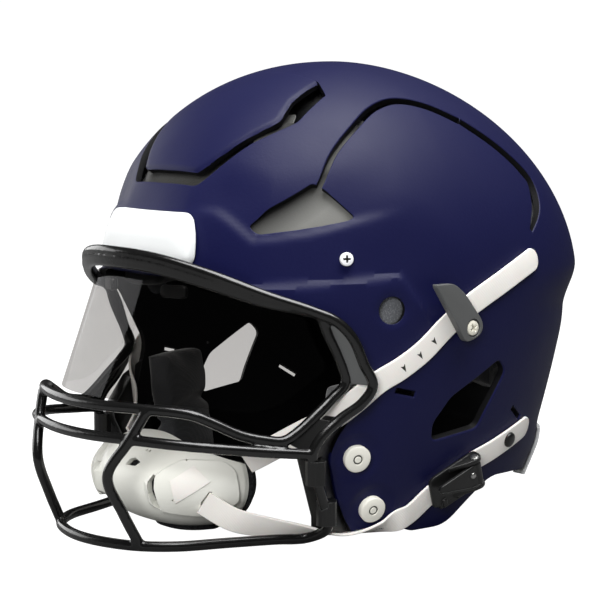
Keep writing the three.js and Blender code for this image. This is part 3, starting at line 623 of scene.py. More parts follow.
def webbing():
    """Coated webbing: satin skin with the weave showing faintly through it."""
    n = Nodes("strap_coat")
    base = n.mix(n.noise(35, 3), (246, 243, 238), (236, 232, 226))
    base = n.mix(n.edge_wear(0.0006, 0.25), base, (196, 192, 182))
    normal = n.bump(n.waves("DIAGONAL", 330, 0.6), 0.10, 0.0003, n.soft_edges(0.0004))
    return n.made({"Base Color": base, "Roughness": n.spread(n.noise(120, 2), 0.42, 0.55),
                   "Normal": n.bump(n.noise(1800, 2), 0.1, 0.0002, normal), "Subsurface Weight": 0.05,
                   "Subsurface Scale": 0.001})


def cloth(name, dark, light, weave=2200, depth=0.35):
    """Brushed knit over foam: two crossed thread waves, fuzz and a soft sheen."""
    n = Nodes(name)
    threads = n.times(*(n.waves(direction, weave / 6.283, 0.8) for direction in "XZ"))
    bright = tuple(min(1.0, c * 1.5) for c in srgb(*light))
    base = n.mix(n.times(threads, 0.4), n.mix(n.noise(45, 4), dark, light), bright)
    normal = n.bump(threads, depth, 0.0004)
    return n.made({"Base Color": base, "Roughness": 0.92, "Sheen Weight": 0.35, "Sheen Roughness": 0.5,
                   "Normal": n.bump(n.noise(600, 4), 0.25, 0.0006, normal)})


def vent_floor():
    """The liner cover under a vent: grey, in shade under the vent's upper edge and in the slot's ends."""
    n = Nodes("vent_floor")
    apart = n.add("SeparateXYZ", {"Vector": n.coordinates})
    along, up = apart.outputs["Y"], apart.outputs["Z"]
    corner_y, corner_z = (113 - SHIFT) * MM, 173 * MM
    across = n.maths("SUBTRACT", n.times(n.maths("ADD", along, corner_y), 0.579),
                     n.times(n.maths("SUBTRACT", up, corner_z), 0.816))
    slot_part = n.times(n.spread(up, 0.0, 1.0, 197 * MM, 202 * MM), n.spread(up, 0.0, 1.0, 222 * MM, 217 * MM))
    shade = n.maths("MAXIMUM", n.spread(across, 0.0, 1.0, 3 * MM, 15 * MM), n.times(slot_part, 0.4))
    base = n.mix(n.noise(45, 4), (100, 100, 97), (114, 114, 111))
    return n.made({"Base Color": n.mix(shade, (14, 14, 14), base), "Roughness": 0.75,
                   "Normal": n.bump(n.noise(900, 3), 0.15, 0.0004)})


def foam(name, dark, light):
    """Open-cell foam: small dark pits."""
    n = Nodes(name)
    cells = n.add("TexVoronoi", {"Scale": 900, "Vector": n.coordinates})
    pits = n.spread(cells.outputs["Distance"], 0, 1, 0.0, 0.6)
    return n.made({"Base Color": n.mix(pits, light, dark), "Roughness": 0.95,
                   "Normal": n.bump(pits, 0.4, 0.0006)})


def smoked_visor():
    """Tinted polycarbonate: a grey filter once on each line of sight, under a gloss skin on front faces."""
    n = Nodes("smoked_polycarbonate")
    n.tree.nodes.remove(n.shader)
    backfacing = n.add("NewGeometry").outputs["Backfacing"]
    further = n.maths("GREATER_THAN", n.add("LightPath").outputs["Transparent Depth"], 0.5)
    tint = n.mix(n.noise(14, 2), (0.375, 0.365, 0.355, 1.0), (0.4, 0.39, 0.38, 1.0))
    tint = n.mix(further, tint, (0.93, 0.93, 0.92, 1.0))
    clear = n.add("BsdfTransparent", {"Color": n.mix(backfacing, tint, (1.0, 1.0, 1.0, 1.0))})
    gloss = n.add("BsdfGlossy", {"Color": (0.9, 0.9, 0.92, 1), "Normal": n.bump(n.noise(25, 2), 0.04, 0.001),
                                 "Roughness": n.spread(n.noise(60, 3), 0.03, 0.07)})
    grazing = n.maths("POWER", n.add("LayerWeight", {"Blend": 0.5}).outputs["Facing"], 4.0)
    shine = n.maths("ADD", n.times(grazing, 0.1), 0.02)
    mix = n.add("MixShader", {"Fac": n.times(shine, n.maths("SUBTRACT", 1.0, backfacing)),
                              1: clear.outputs["BSDF"], 2: gloss.outputs["BSDF"]})
    n.feed(n.tree.nodes["Material Output"], {"Surface": mix.outputs["Shader"]})
    return n.material


# Each look is a material and the slot that it stands for.
NAVY = painted_shell(), "shell_navy"
BARE = moulded("bare_polycarbonate", (6, 6, 8), (10, 10, 12), (0.5, 0.6), 1500, 0.1, None, 0.0003, 0.3)
BUMPER = moulded("bumper_rubber", (224, 226, 226), (216, 218, 218), (0.38, 0.5), 900, 0.15, (205, 205, 202),
                 0.0008), "bumper_white"
# The cup's lighter edge colour is a painted highlight.
CUP_WHITE = moulded("cup_plastic", (236, 236, 229), (226, 226, 217), (0.26, 0.38), 700, 0.08,
                    (240, 240, 236), 0.0006), "cup_white"
DISC_WHITE = moulded("disc_plastic", (245, 243, 233), (237, 235, 224), (0.4, 0.5), 1600, 0.1,
                     (225, 224, 215), 0.0004), "disc_white"
# The black nylon's light grey edge colour is a painted highlight.
BLACK = moulded("black_nylon", (16, 16, 16), (24, 24, 24), (0.26, 0.42), 1500, 0.12,
                (96, 98, 98)), "black_plastic"
# The keeper nylon's lighter edge colour is a painted highlight.
ARM_BLACK = moulded("keeper_nylon", (80, 81, 81), (90, 91, 91), (0.42, 0.52), 1500, 0.12,
                    (110, 112, 112)), "black_plastic"
# The keeper screw is nickel, drawn as a bright cream diffuse colour: a painted reflection standing in for the
# metal's shine.
KEEPER_SCREW = moulded("nickel_screw", (236, 233, 218), (214, 211, 198), (0.22, 0.32), 1600, 0.06, None,
                       0.0002, 0.8), "steel"
SCREW_WHITE = moulded("white_screw", (235, 236, 238), (220, 221, 224), (0.3, 0.4), 1600, 0.06, None,
                      0.0002), "disc_white"
COAT = powder_coat(), "wire_black"
STEEL = steel(), "steel"
STRAP = webbing(), "strap_white"
STRAP_MARK = moulded("strap_ink", (40, 40, 38), (54, 54, 50), (0.5, 0.6), 1800, 0.1, None,
                     0.0001), "black_plastic"
PAD_CLOTH = cloth("liner_cloth", (46, 47, 49), (60, 61, 63)), "pad_foam"
VENT_FLOOR = vent_floor(), "plug_grey"
SLOT_GREY = cloth("slot_sheet", (46, 46, 44), (56, 56, 54), 2600, 0.12), "plug_grey"
PLUG = foam("ear_foam", (100, 102, 106), (128, 130, 134)), "plug_grey"
CUP_FOAM = foam("cup_foam", (22, 22, 24), (52, 53, 55)), "pad_foam"
VISOR = smoked_visor(), "visor_smoke"

# ---- Shell and flex panel ---------------------------------


def shell_patch(turns, columns, levels, rows):
    """A grid over part of the shell's surface, between two turns in degrees and two levels, and its normals."""
    base = surface(np.radians(np.linspace(*turns, columns))[None, :], np.linspace(*levels, rows)[:, None])
    return base, normals(base)


def rolled_edge(away, radius):
    """How far a rounded edge falls below the face, by the distance from the edge."""
    near = np.clip(radius - away, 0, radius)
    return radius - np.sqrt(np.maximum(radius ** 2 - near ** 2, 0))


def full_ring(half, radius=4):
    """The panel's outline all round on the surface, from the half that is on the wearer's left."""
    edge = on_front(half)
    corners = np.concatenate([edge, edge[:-1][::-1] * (-1, 1, 1)])
    line = round_corners(corners, radius, closed=False)
    line[0], line[-1] = corners[0], corners[-1]
    return np.concatenate([on_top([PANEL_ROOT]), line, on_top([PANEL_ROOT]) * (-1, 1, 1)])


def read(items, name):
    """A vector attribute of a mesh's vertices or faces."""
    flat = np.empty(len(items) * 3)
    items.foreach_get(name, flat)
    return flat.reshape(-1, 3)


def unpaint_inside(obj):
    """Leaves paint on the outer face only: the inner face and the openings' walls are bare black plastic."""
    obj.data.materials.append(BARE)
    faces = obj.data.polygons
    out = normals(read(faces, "center") / MM - (0, SHIFT, 0))
    inner = (read(faces, "normal") * out).sum(axis=1) < 0.4
    faces.foreach_set("material_index", inner.astype(np.int32))


OPENING_CHAMFER, SLOT_CHAMFER, SLIT_WIDTH = 0.7, 0.5, 3.0
# Each crown slot widens along its length: the line, the axis to go by, stations on it and widths there.
CROWN_SLOTS = [
    (SIDE_SLOT, 1, [-66, -30, 10, 29], [3.4, 4.4, 6.6, 7.0]),
    (REAR_SLOT, 2, [164, 172, 180, 194, 204, 225], [2.5, 6.5, 9.5, 9.5, 8.0, 7.0]),
]


def build_shell():
    columns, rows = ((440, 176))
    turn = np.arange(columns) / columns * 2 * math.pi
    outer = surface(turn[None, :], np.linspace(-1.08, 1, rows)[:, None])
    n = normals(outer)
    n[-1] = (0, 0, 1)
    raised = outer + n * relief(outer)[..., None]
    body = skin("helmet_shell", raised, outer - n * SHELL_WALL, wrap=True, weld=True)
    for outline, radius in ((FACE_OPENING, 7), (UNDER_EDGE, 9)):
        combine(body, prism(dense(round_corners(outline, radius), 6), 0, -200, 200))
    combine(body, radial_cutter(full_ring(PANEL_OPENING)))
    rings = [on_side(dense(round_corners(vent, r), 3)) for vent, r in ((FRONT_VENT, 3.2), (LOWER_VENT, 3.6))]
    rings.append(on_side(circle(EAR_RADIUS, 40) + EAR))
    rings += [slot_ring(on_side(dense(line, 2, False)), SLIT_WIDTH) for line in SLITS]
    combine(body, both(joined([radial_cutter(r, OPENING_CHAMFER) for r in rings])))
    for line, axis, stations, widths in CROWN_SLOTS:
        curve = on_side(catmull(line, 5))
        width = np.interp(curve[:, axis], stations, widths)
        combine(body, both(radial_cutter(slot_ring(curve, width), SLOT_CHAMFER)))
    finish(body, NAVY, ["shell"], 32)
    unpaint_inside(body)


PANEL_ROLL = 3.0


def build_panel():
    ring = full_ring(PANEL_EDGE, 5)
    columns, rows = ((150, 110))
    outer, n = shell_patch((-152, -28), columns, (0.28, 0.985), rows)
    edge = np.concatenate([dense(ring[:2], 3, False), dense(ring[1:-1], 2, False), dense(ring[-2:], 3, False)])
    drop = rolled_edge(line_distance(outer, edge), PANEL_ROLL)
    body = skin("crown_flex_panel", outer - n * (drop * 0.8)[..., None], outer - n * SHELL_WALL)
    combine(body, radial_cutter(ring), "INTERSECT")
    finish(body, NAVY, ["flex_panel"], 32, body=None)
    unpaint_inside(body)
    start, end = place([[0, PANEL_ROOT[1] + 1, 251], [0, PANEL_ROOT[1] - 16, 249]])
    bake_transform(body)


build_shell()
build_panel()

# ---- Bumpers ----------------------------------------------

BROW_OUTLINE = [(42, 150), (40, 166), (34, 178), (-34, 178), (-40, 166), (-42, 150)]
BROW_THICK, BROW_CROWN, BROW_ROLL, BROW_BACK = 4.9, 0.5, 4.2, 0.3
NECK_THICK, NECK_BACK, LIP_THICK = 2.4, 0.4, 2.2
NECK_OUTLINE = [(86, 15.5), (97, 42), (200, 42), (200, 14.5), (110, 14.5)]
LIP_OUTLINE = [(86, 15.5), (86.6, 17.6), (110, 16.6), (200, 16.6), (200, 14.5), (110, 14.5)]


def build_bumpers():
    base, n = shell_patch((-116, -64), 150, (0.04, 0.42), 60)
    edge = dense(round_corners(BROW_OUTLINE, 7), 2)
    away = line_distance(base[..., [0, 2]], edge, True)
    height = BROW_THICK + BROW_CROWN * smooth(away, 3, 16) - rolled_edge(away, BROW_ROLL) * 0.85
    front = skin("brow_bumper", base + n * height[..., None], base + n * BROW_BACK)
    combine(front, prism(edge, 1, -60, -200), "INTERSECT")
    finish(front, BUMPER, ["front_bumper"], 50)
    base, n = shell_patch((40, 140), 160, (-0.94, -0.62), 30)
    rear = skin("neck_bumper", base + n * NECK_THICK, base + n * NECK_BACK)
    combine(rear, prism(NECK_OUTLINE, 0, -150, 150), "INTERSECT")
    lip = skin("lip", base + n * LIP_THICK, base - n * SHELL_WALL)
    combine(lip, prism(LIP_OUTLINE, 0, -150, 150), "INTERSECT")
    combine(rear, lip, "UNION")
    finish(rear, BUMPER, ["rear_bumper"], 40)


build_bumpers()

# ---- Liner pads -------------------------------------------

PAD_SHRINK, PAD_REACH, SEAM_DEPTH, SEAM_WIDTH = 1.6, 4.0, 3.4, 3.0
CLOTH_FRAMES, CLOTH_PRESSURE, PAD_VOXEL = 20, 4.0, 4


def shell_angles(p):
    """Degrees round the head and above its centre, for points in drawn millimetres."""
    arm = p - CENTRE
    around = np.degrees(np.arctan2(arm[:, 1], arm[:, 0]))
    return around, np.degrees(np.arctan2(arm[:, 2], np.hypot(arm[:, 0], arm[:, 1])))


def write_points(obj, points):
    obj.data.vertices.foreach_set("co", points.ravel())
    obj.data.update()


def inflate(obj):
    """Blows the remeshed skin up as cloth; no point moves further than PAD_REACH."""
    before = read(obj.data.vertices, "co")
    mod = obj.modifiers.new("cloth", "CLOTH")
    mod.settings.use_pressure = True
    mod.settings.uniform_pressure_force = CLOTH_PRESSURE
    mod.settings.effector_weights.gravity = 0.0
    mod.settings.quality = 4
    mod.point_cache.frame_start, mod.point_cache.frame_end = 1, CLOTH_FRAMES
    for number in range(1, CLOTH_FRAMES + 1):
        bpy.context.scene.frame_set(number)
    bake(obj)
    bpy.context.scene.frame_set(1)
    shift = read(obj.data.vertices, "co") - before
    length = np.linalg.norm(shift, axis=1, keepdims=True)
    write_points(obj, before + shift * np.minimum(1, PAD_REACH * MM / np.maximum(length, 1e-9)))


def pad(node, name, seams_around, seams_up):
    """A sewn cushion in the form of a liner pad: shrunk, blown up as cloth, then pulled in along its seams."""
    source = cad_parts[node]
    mesh = source.data.copy()
    mesh.transform(source.matrix_world)
    obj = linked(name, mesh)
    remeshed(obj, PAD_VOXEL, 4)
    with editing(obj.data) as work:
        work.normal_update()
        for vert in work.verts:
            vert.co -= vert.normal * PAD_SHRINK * MM
    inflate(obj)
    obj.modifiers.new("fine", "SUBSURF").levels = 1
    bake(obj)
    points = read(obj.data.vertices, "co")
    drawn = points / MM - (0, SHIFT, 0)
    around, up = shell_angles(drawn)
    reach = np.linalg.norm(drawn - CENTRE, axis=1)
    gaps = [np.radians((around - at + 180) % 360 - 180) * reach * np.cos(np.radians(up)) for at in seams_around]
    gaps += [np.radians(up - at) * reach for at in seams_up]
    sewn = np.max([np.exp(-(gap / SEAM_WIDTH) ** 2) for gap in gaps], axis=0)
    write_points(obj, points - read(obj.data.vertices, "normal") * (sewn * SEAM_DEPTH * MM)[:, None])
    return obj


def sheet(name, turns, columns, levels, rows, top, bottom):
    """A sheet of the liner's cover, between two depths under the shell's surface."""
    base, n = shell_patch(turns, columns, levels, rows)
    return skin(name, base - n * top, base - n * bottom)


# The CAD pad, the drawn piece's name, and its seams in degrees round the head and above its centre.
PADS = [
    ("crown_pad", "crown_cushion", range(0, 360, 45), ()),
    ("front_pad", "brow_cushion", (-109, -90, -71), (38,)),
    ("back_pad", "nape_cushion", (70, 90, 110), (-18, 4, 26)),
    ("side_pad_left", "side_cushion", (-22, 2, 26), (22, 44)),
    ("jaw_pad_left", "jaw_cushion", (), (-32,)),
]


def build_liner():
    for node, name, seams_around, seams_up in PADS:
        obj = pad(node, name, seams_around, seams_up)
        if node.endswith("_left"):
            pair(obj, name, PAD_CLOTH, [node.replace("left", "{}")], 60)
        else:
            finish(obj, PAD_CLOTH, [node], 60)
    pair(sheet("vent_sheet", (-64, -24), 60, (0.15, 0.55), 44, 5.3, 6.8), "vent_sheet", VENT_FLOOR,
         ["vent_backing_{}"], 60)
    finish(sheet("slot_sheet", (-128, -52), 90, (0.30, 0.62), 24, 9.6, 11.2), SLOT_GREY, (), 60)
    plug = [(0, -6.7), (9.0, -6.7), (9.4, -6.3), (9.2, -5.6), (8.0, -5.2), (0, -5.1)]
    pair(lathe("ear_foam", side_frame(EAR, (0, 1)), plug), "ear_foam", PLUG, ["ear_plug_{}"], 60)


build_liner()

# ---- Face mask --------------------------------------------

PERIMETER = [(0, -154, 157), (30, -148, 155), (56, -134, 148), (82, -112, 136), (98, -94, 128), (105, -85, 123),
             (109.5, -77.5, 114), (111.5, -71.5, 100), (112.5, -66, 88), (110.5, -72, 79), (105, -82, 71),
             (102, -94, 61), (101, -98, 53), (99, -93, 38), (95, -84, 20), (90, -79, 9), (80, -84, 3.2),
             (72, -101, 3.2), (62, -125, 3.2), (52, -150, 3.2), (38, -165, 3.2), (20, -173, 3.2),
             (0, -176, 3.2)]
EYE_LOOP = [(0, -153, 151), (30, -147, 149), (56, -133, 142), (80, -112, 132.5), (92, -99, 129), (98, -91, 126),
            (100, -86, 115), (101, -77, 97), (101, -75, 89), (99, -83, 81), (98, -92, 74), (96, -104, 65),
            (94, -112, 61), (90, -121, 62), (84, -132, 65), (76, -145, 72), (70, -153, 76), (50, -167, 78),
            (27, -176, 78), (0, -180, 78)]
CROSS_BAR = [(0, -183, 62), (20, -181, 62), (43, -174, 62), (66, -162, 61), (82, -144, 59), (93, -121, 56),
             (99, -104, 54), (101, -98, 53)]
UPRIGHT = [(50, -168, 77), (44, -174.5, 62), (34, -182, 42), (36, -174, 22), (38, -165, 4)]
# Fills the gap between the two wires over the brow.
BROW_FILL = [(0, -154, 154), (30, -148, 152), (56, -134, 145), (74, -119, 137)]
# Thin webs join the wires at the side: between PERIMETER and EYE_LOOP, and lower down between these lines.
LOWER_WEB = ([(104, -84, 69.5), (102, -94, 61), (101, -98, 53)],
             [(97.5, -95, 72), (96, -104, 65), (94, -112, 61)])
WEB_HALF, WEB_SPAN = 0.7, slice(5, 9)
# The black guard on the jaw's front edge, from the shell (y, z) to the wire and on behind it (x, y, z).
GUARD_EDGE = [(-66, 79), (-77, 58), (-79, 48), (-74, 30), (-67, 14), (-61, 4.5)]
GUARD_WIRE = [(105, -82, 71), (101, -98, 54), (100.5, -97, 48), (97.5, -89.5, 30), (92.5, -81, 14),
              (89, -78, 6)]


def whole(half, closed):
    """A mirrored wire from its half on the wearer's left, which starts on the middle plane."""
    other = [(-x, y, z) for x, y, z in half[1:(-1 if closed else None)]][::-1]
    return list(half) + other if closed else other + list(half)


def web(near, far):
    """A thin plate strung between two lines."""
    near, far = np.array(near, float)[:, None], np.array(far, float)[:, None]
    share = np.linspace(0, 1, 5)[None, :, None]
    grid = near * (1 - share) + far * share
    return skin("web", grid + (WEB_HALF, 0, 0), grid - (WEB_HALF, 0, 0))


def build_mask():
    def wire(line, closed=False, radius=WIRE + 0.05, steps=8):
        profile = circle(radius, 20)
        return sweep("mask_wires", catmull(line, steps, closed), profile, closed=closed)

    body = wire(whole(PERIMETER, True), True)
    combine(body, wire(whole(EYE_LOOP, True), True), "UNION")
    combine(body, wire(whole(CROSS_BAR, False)), "UNION")
    combine(body, both(wire(UPRIGHT, steps=12)), "UNION")
    combine(body, wire(whole(BROW_FILL, False), radius=WIRE), "UNION")
    remeshed(body, 0.8, 6)
    finish(body, COAT, ["face_mask"], 180)
    guard = np.array(GUARD_WIRE, float) + (-2.5, 3.5, 0)
    pair(web(PERIMETER[WEB_SPAN], EYE_LOOP[WEB_SPAN]), "mask_web", ARM_BLACK)
    pair(web(*LOWER_WEB), "mask_lower_web", BLACK)
    pair(web(on_side(GUARD_EDGE) - (2.5, 0, 0), guard), "jaw_guard_rear", BLACK)
    pair(web(guard, np.array(GUARD_WIRE, float) + (-14, 1, 0)), "jaw_guard_front", BLACK)


build_mask()

# ---- Visor ------------------------------------------------

VISOR_BACK, VISOR_LOW, VISOR_HIGH = -60, 84, 147
VISOR_REACH, VISOR_ACROSS = (110, 82), (96, 91)  # half sizes at the low and the high level
VISOR_WALL = 2.4
VISOR_OUTLINE = [(-185, 81), (-150, 79), (-122, 75), (-108, 79), (-94, 88), (-80, 97), (-76, 101), (-87, 121),
                 (-97, 126.5), (-108, 131.5), (-126, 140), (-137, 145), (-185, 146)]
VISOR_CLIP = (0.36, 136)


def visor_point(turn, z, inset):
    share = (z - VISOR_LOW) / (VISOR_HIGH - VISOR_LOW)
    reach, across = (low + (high - low) * share for low, high in (VISOR_REACH, VISOR_ACROSS))
    turn, across, reach, z = np.broadcast_arrays(turn, across - inset, reach, z)
    return np.stack([across * np.sin(turn), VISOR_BACK - (reach - inset) * np.cos(turn), z], -1)


def build_visor():
    turn = np.radians(np.linspace(-86, 86, 180))[None, :]
    z = np.linspace(60, 160, 40)[:, None]
    body = skin("smoked_visor", visor_point(turn, z, 0), visor_point(turn, z, VISOR_WALL))
    combine(body, prism(dense(round_corners(VISOR_OUTLINE, 5), 4), 0, -150, 150), "INTERSECT")
    finish(body, VISOR, ["visor"])
    t, height = VISOR_CLIP
    facing = np.array([-math.sin(t), math.cos(t), 0])
    matrix = frame_at(visor_point(t, height, VISOR_WALL + 2.4), facing, np.cross((0, 0, 1), facing))
    tab = plate("visor_tab", matrix, rounded_rectangle(16, 7, 2), 0, 3.6, 0.7)
    pair(tab, "visor_tab", BLACK, ["visor_clip_{}"])
    bolt = [(0, 3.6), (2.6, 3.7), (2.6, 4.8), (2.1, 5.2), (0.9, 5.2), (0.8, 4.5), (0, 4.5)]
    pair(lathe("visor_bolt", matrix, bolt), "visor_bolt", STEEL, ["visor_screw_{}"])


build_visor()

# ---- Chin cup ---------------------------------------------

CUP_Y, CUP_Z, CUP_WIDE, CUP_REACH, CUP_HIGH, CUP_POWER, CUP_WALL = -98, 30, 52, 54, 28, 2.5, 2.8
CUP_TURN, BRIDGE_RISE = 88, 2.8
AROUND_MM, UP_MM = 0.92, 0.49  # millimetres a degree

# Outlines on the cup's surface, in degrees: round from the front, then up from the middle of its height.
BRIDGE = [(17.3, 9.4), (45.2, 34.2), (74.1, 31.1), (81.2, 19.6), (83.2, -16.1), (79.2, -22.6), (62.6, -33.3),
          (36.3, -27.9), (20.9, -23.2)]
BRIDGE_SLOT = [(24.6, 15.6), (22.6, 7.3), (23.1, -5.5), (25.2, -16.3), (28.6, -23.5), (31.0, -21.0),
               (29.2, -10.0), (27.6, 1.5), (27.6, 14.0)]
EXIT_SLOT = [(65.6, -2.0), (61.0, -11.9), (60.2, -26.0), (57.6, -25.0), (58.6, -11.5), (63.6, -1.0)]
STRAP_WINDOW = [(38.4, 10.2), (53.9, 25.2), (64.4, 8.6), (41.9, -12.9)]
STITCH_HOLES = [(48.7, 31.0), (40.2, -9.8)]
CUP_VENT = [(1.4, 20.9), (2.5, 28.0), (5.5, 30.2), (11.7, 26.5), (8.7, 21.4)]
RIM_SLOTS = [(11.1, 40.3), (14.3, 39.8)]


def cup_at(angles, inset):
    """Points on the cup, or inset from its surface, by their angles in degrees."""
    turn, rise = np.radians(angles[..., 0]), np.radians(angles[..., 1])
    across, along = spow(np.sin(turn), 2 / CUP_POWER), spow(np.cos(turn), 2 / CUP_POWER)
    shrink = np.cos(rise) ** 0.8
    return np.stack([(CUP_WIDE - inset) * across * shrink, CUP_Y - (CUP_REACH - inset) * along * shrink,
                     CUP_Z + (CUP_HIGH - inset) * np.sin(rise)], -1)


def bridge_rise(angles):
    """How far the strap bridge stands out of the cup, in millimetres."""
    scale = (AROUND_MM, UP_MM)
    at = np.stack([np.abs(angles[..., 0]), angles[..., 1]], -1) * scale
    outline = round_corners(BRIDGE, 5) * scale
    inner = np.where(inside_polygon(at, outline), line_distance(at, outline, True), 0)
    ramp_width = 1.2 + 3.2 * (1 - smooth(at[..., 0], 22, 30))
    return BRIDGE_RISE * smooth(inner / ramp_width, 0, 1)


def cup_grid(widest, bottom, side_top, front_top, columns, rows):
    u = np.linspace(-widest, widest, columns)
    top = side_top + (front_top - side_top) * np.maximum(0, np.cos(np.radians(u)))
    rise = bottom + (top[None, :] - bottom) * np.linspace(0, 1, rows)[:, None]
    return np.stack(np.broadcast_arrays(u[None, :], rise), -1)


def cup_prism(outline, low, high):
    """A closed body over an outline on the cup, from one height above the cup's surface to another."""
    line = dense(outline, 1.5)
    return loft("cutter", [cup_at(line, -low), cup_at(line, -high)])


def cup_hole(at, radius):
    return circle(radius, 12) / (AROUND_MM, UP_MM) + at


def build_cup():
    k = 2
    angles = cup_grid(CUP_TURN, -72, 22, 66, 160 * k, 70 * k)
    edge = np.minimum(CUP_TURN - np.abs(angles[..., 0]), 99) * AROUND_MM
    rolled = 0.9 * (1 - smooth(edge, 0, 2.5))
    body = skin("hard_chin_cup", cup_at(angles, rolled - bridge_rise(angles)), cup_at(angles, CUP_WALL))
    slots = [cup_prism(BRIDGE_SLOT, -4.0, 8), cup_prism(round_corners(CUP_VENT, 1), -4.0, 6),
             cup_prism(EXIT_SLOT, 0.4, 8)]
    slots += [cup_prism(cup_hole(at, 0.55), 0.6, 8) for at in STITCH_HOLES]
    slots += [cup_prism(cup_hole(at, 0.7), -4.0, 6) for at in RIM_SLOTS]
    combine(body, both(joined(slots)))
    finish(body, CUP_WHITE, ["chin_cup"], 35, "chin_cup")
    a, b, c, d = (np.array(corner) for corner in STRAP_WINDOW)
    u, v = (share[..., None] for share in np.meshgrid(np.linspace(0, 1, 16), np.linspace(0, 1, 16)))
    area = (a * (1 - u) + b * u) * (1 - v) + (d * (1 - u) + c * u) * v
    patch = skin("strap_window", cup_at(area, -BRIDGE_RISE - 0.6), cup_at(area, -BRIDGE_RISE + 0.6))
    finish(both(patch), STRAP, (), 30, "chin_cup")
    angles = cup_grid(92, -80, 26.5, 71, 60 * k, 26 * k)
    lining = skin("chin_cup_padding", cup_at(angles, CUP_WALL + 0.5), cup_at(angles, CUP_WALL + 6))
    finish(lining, CUP_FOAM, ["chin_cup_liner"], 50, "chin_cup")
    bottom = cup_at(np.column_stack([np.linspace(-86, 86, 60), np.full(60, -71.0)]), 2.2) - (0, 0, 2.0)
    rear = cup_at(np.column_stack([np.full(26, float(CUP_TURN)), np.linspace(-66, 20, 26)]), 3.6) + (0, 2.6, 0)
    path = np.concatenate([(rear * (-1, 1, 1))[::-1], bottom, rear])
    lip = sweep("foam_lip", catmull(path[::3], 4), circle(2.5, 14) * (1.0, 1.25))
    finish(lip, CUP_FOAM, (), 60, "chin_cup")


build_cup()

# ---- Straps -----------------------------------------------

# Where each strap hangs free, points on its middle line and the way that its outer face looks there; where it
# lies on the shell, (y, z) points from the side.
UPPER_FREE = [((54.5, -106, 43), (1, -0.15, 0)), ((63, -97, 50), (0.75, -0.65, 0)),
              ((79, -86, 61), (0.62, -0.75, 0.1)), ((94, -78, 70), (0.75, -0.6, 0)),
              ((103, -70, 79), (0.9, -0.4, 0))]
UPPER_ON_SHELL = [(-58, 89), (-46, 95.5), (-33, 104), (-18, 116.5), (-3, 126), (25, 138.5), (55, 150)]
LOWER_FREE = [((48.2, -130.2, 23.4), (0.86, -0.5, -0.1)), ((56, -116, 13.5), (0.9, -0.4, -0.15)),
              ((63, -100, 8.6), (0.8, -0.42, -0.43)), ((73, -82, 5.4), (0.55, -0.3, -0.78)),
              ((84, -64, 3), (0.12, -0.05, -1)), ((91.5, -43, 5.2), (0.6, 0, -0.8)),
              ((95.8, -33, 8.2), (0.97, -0.1, -0.2))]
LOWER_ON_SHELL = [(-26, 11), (-15, 20), (-5, 27), (12, 36), (28, 41), (44, 46), (64, 52)]
# The size marks' places on the upper strap, (y, z), and their form.
MARKS = [(-44.9, 95.6), (-35.3, 101.9), (-26.8, 108.9)]
MARK_OUTLINE = [(0.2, -2.6), (1.5, 2.0), (0.1, 1.0), (-1.4, 1.9)]
# Distances from a strap's end at which its rounded tail gets a station.
TAIL_STATIONS = (6.5, 5, 3.6, 2.4, 1.4, 0.6, 0.2)


def strap(name, free, on_shell):
    """A coated webbing strap with rounded edges and tail; returns the object, its path and face normals."""
    faces = unit(np.array([n for _, n in free], float))
    points = np.concatenate([[p for p, _ in free], on_side(on_shell, STRAP_LIFT + STRAP_THICK / 2)])
    faces = np.concatenate([faces, normals(on_side(on_shell))])
    curve = catmull(np.hstack([points, faces * 40]), 10)
    path, out = curve[:, :3], unit(curve[:, 3:])
    gone = np.concatenate([[0], np.cumsum(np.linalg.norm(np.diff(path, axis=0), axis=1))])
    w, t = STRAP_WIDTH / 2, STRAP_THICK / 2
    tail = np.clip(1 - (gone[-1] - gone) / (w * 0.9), 0, 1)
    profile = np.repeat(round_corners([(-w, -t), (w, -t), (w, t), (-w, t)], 0.9, 4)[None], len(path), axis=0)
    profile[..., 0] *= np.sqrt(np.clip(1 - tail ** 2, 0.02, 1))[:, None]
    return sweep(name, path, profile, out), path, out


def refined_tail(points):
    """Adds stations close to a strap's end, so its rounded tail is smooth."""
    a, b = np.array(points[-2:], float)
    length = np.linalg.norm(b - a)
    return [*points[:-1], *(a + (b - a) * (1 - d / length) for d in TAIL_STATIONS), points[-1]]


def build_straps():
    for level, free, lying in (("upper", UPPER_FREE, UPPER_ON_SHELL), ("lower", LOWER_FREE, LOWER_ON_SHELL)):
        obj, path, out = strap(f"{level}_strap_band_left", free, refined_tail(lying))
        twin = mirror(obj, f"{level}_strap_band_right")
        for item, (side, sign) in zip((obj, twin), SIDES.items()):
            finish(item, STRAP, [f"{level}_strap_{side}"], 50, body=None)
            start, end = place([free[0][0], free[-1][0]]) * (sign, 1, 1)
            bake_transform(item)
        if level == "upper":
            marks(path, out)


def marks(path, out):
    """Three small notched arrows on the upper strap, for setting its length."""
    for index, (y, z) in enumerate(MARKS):
        i = int(np.argmin(np.hypot(path[:, 1] - y, path[:, 2] - z)))
        offset = np.array([path[i, 0], y, z]) - path[i]
        matrix = frame_at(path[i] + offset - out[i] * (offset @ out[i]), out[i], path[i + 1] - path[i])
        mark = plate("strap_mark", matrix, MARK_OUTLINE, STRAP_THICK / 2 - 0.3, STRAP_THICK / 2 + 0.06, 0)
        pair(mark, f"strap_mark_{index + 1}", STRAP_MARK)


build_straps()

# ---- Hardware ---------------------------------------------


def cross_recess(matrix, arm, slot, top, depth, rise=2):
    """The cross-shaped pit of a screw head, as a body."""
    a, s = arm / 2, slot / 2
    outline = np.array([(a, -s), (a, s), (s, s), (s, a), (-s, a), (-s, s),
                        (-a, s), (-a, -s), (-s, -s), (-s, -a), (s, -a), (s, -s)])
    return loft("recess", [ring_at(outline * 0.45, top - depth, matrix), ring_at(outline, top, matrix),
                           ring_at(outline, top + rise, matrix)])


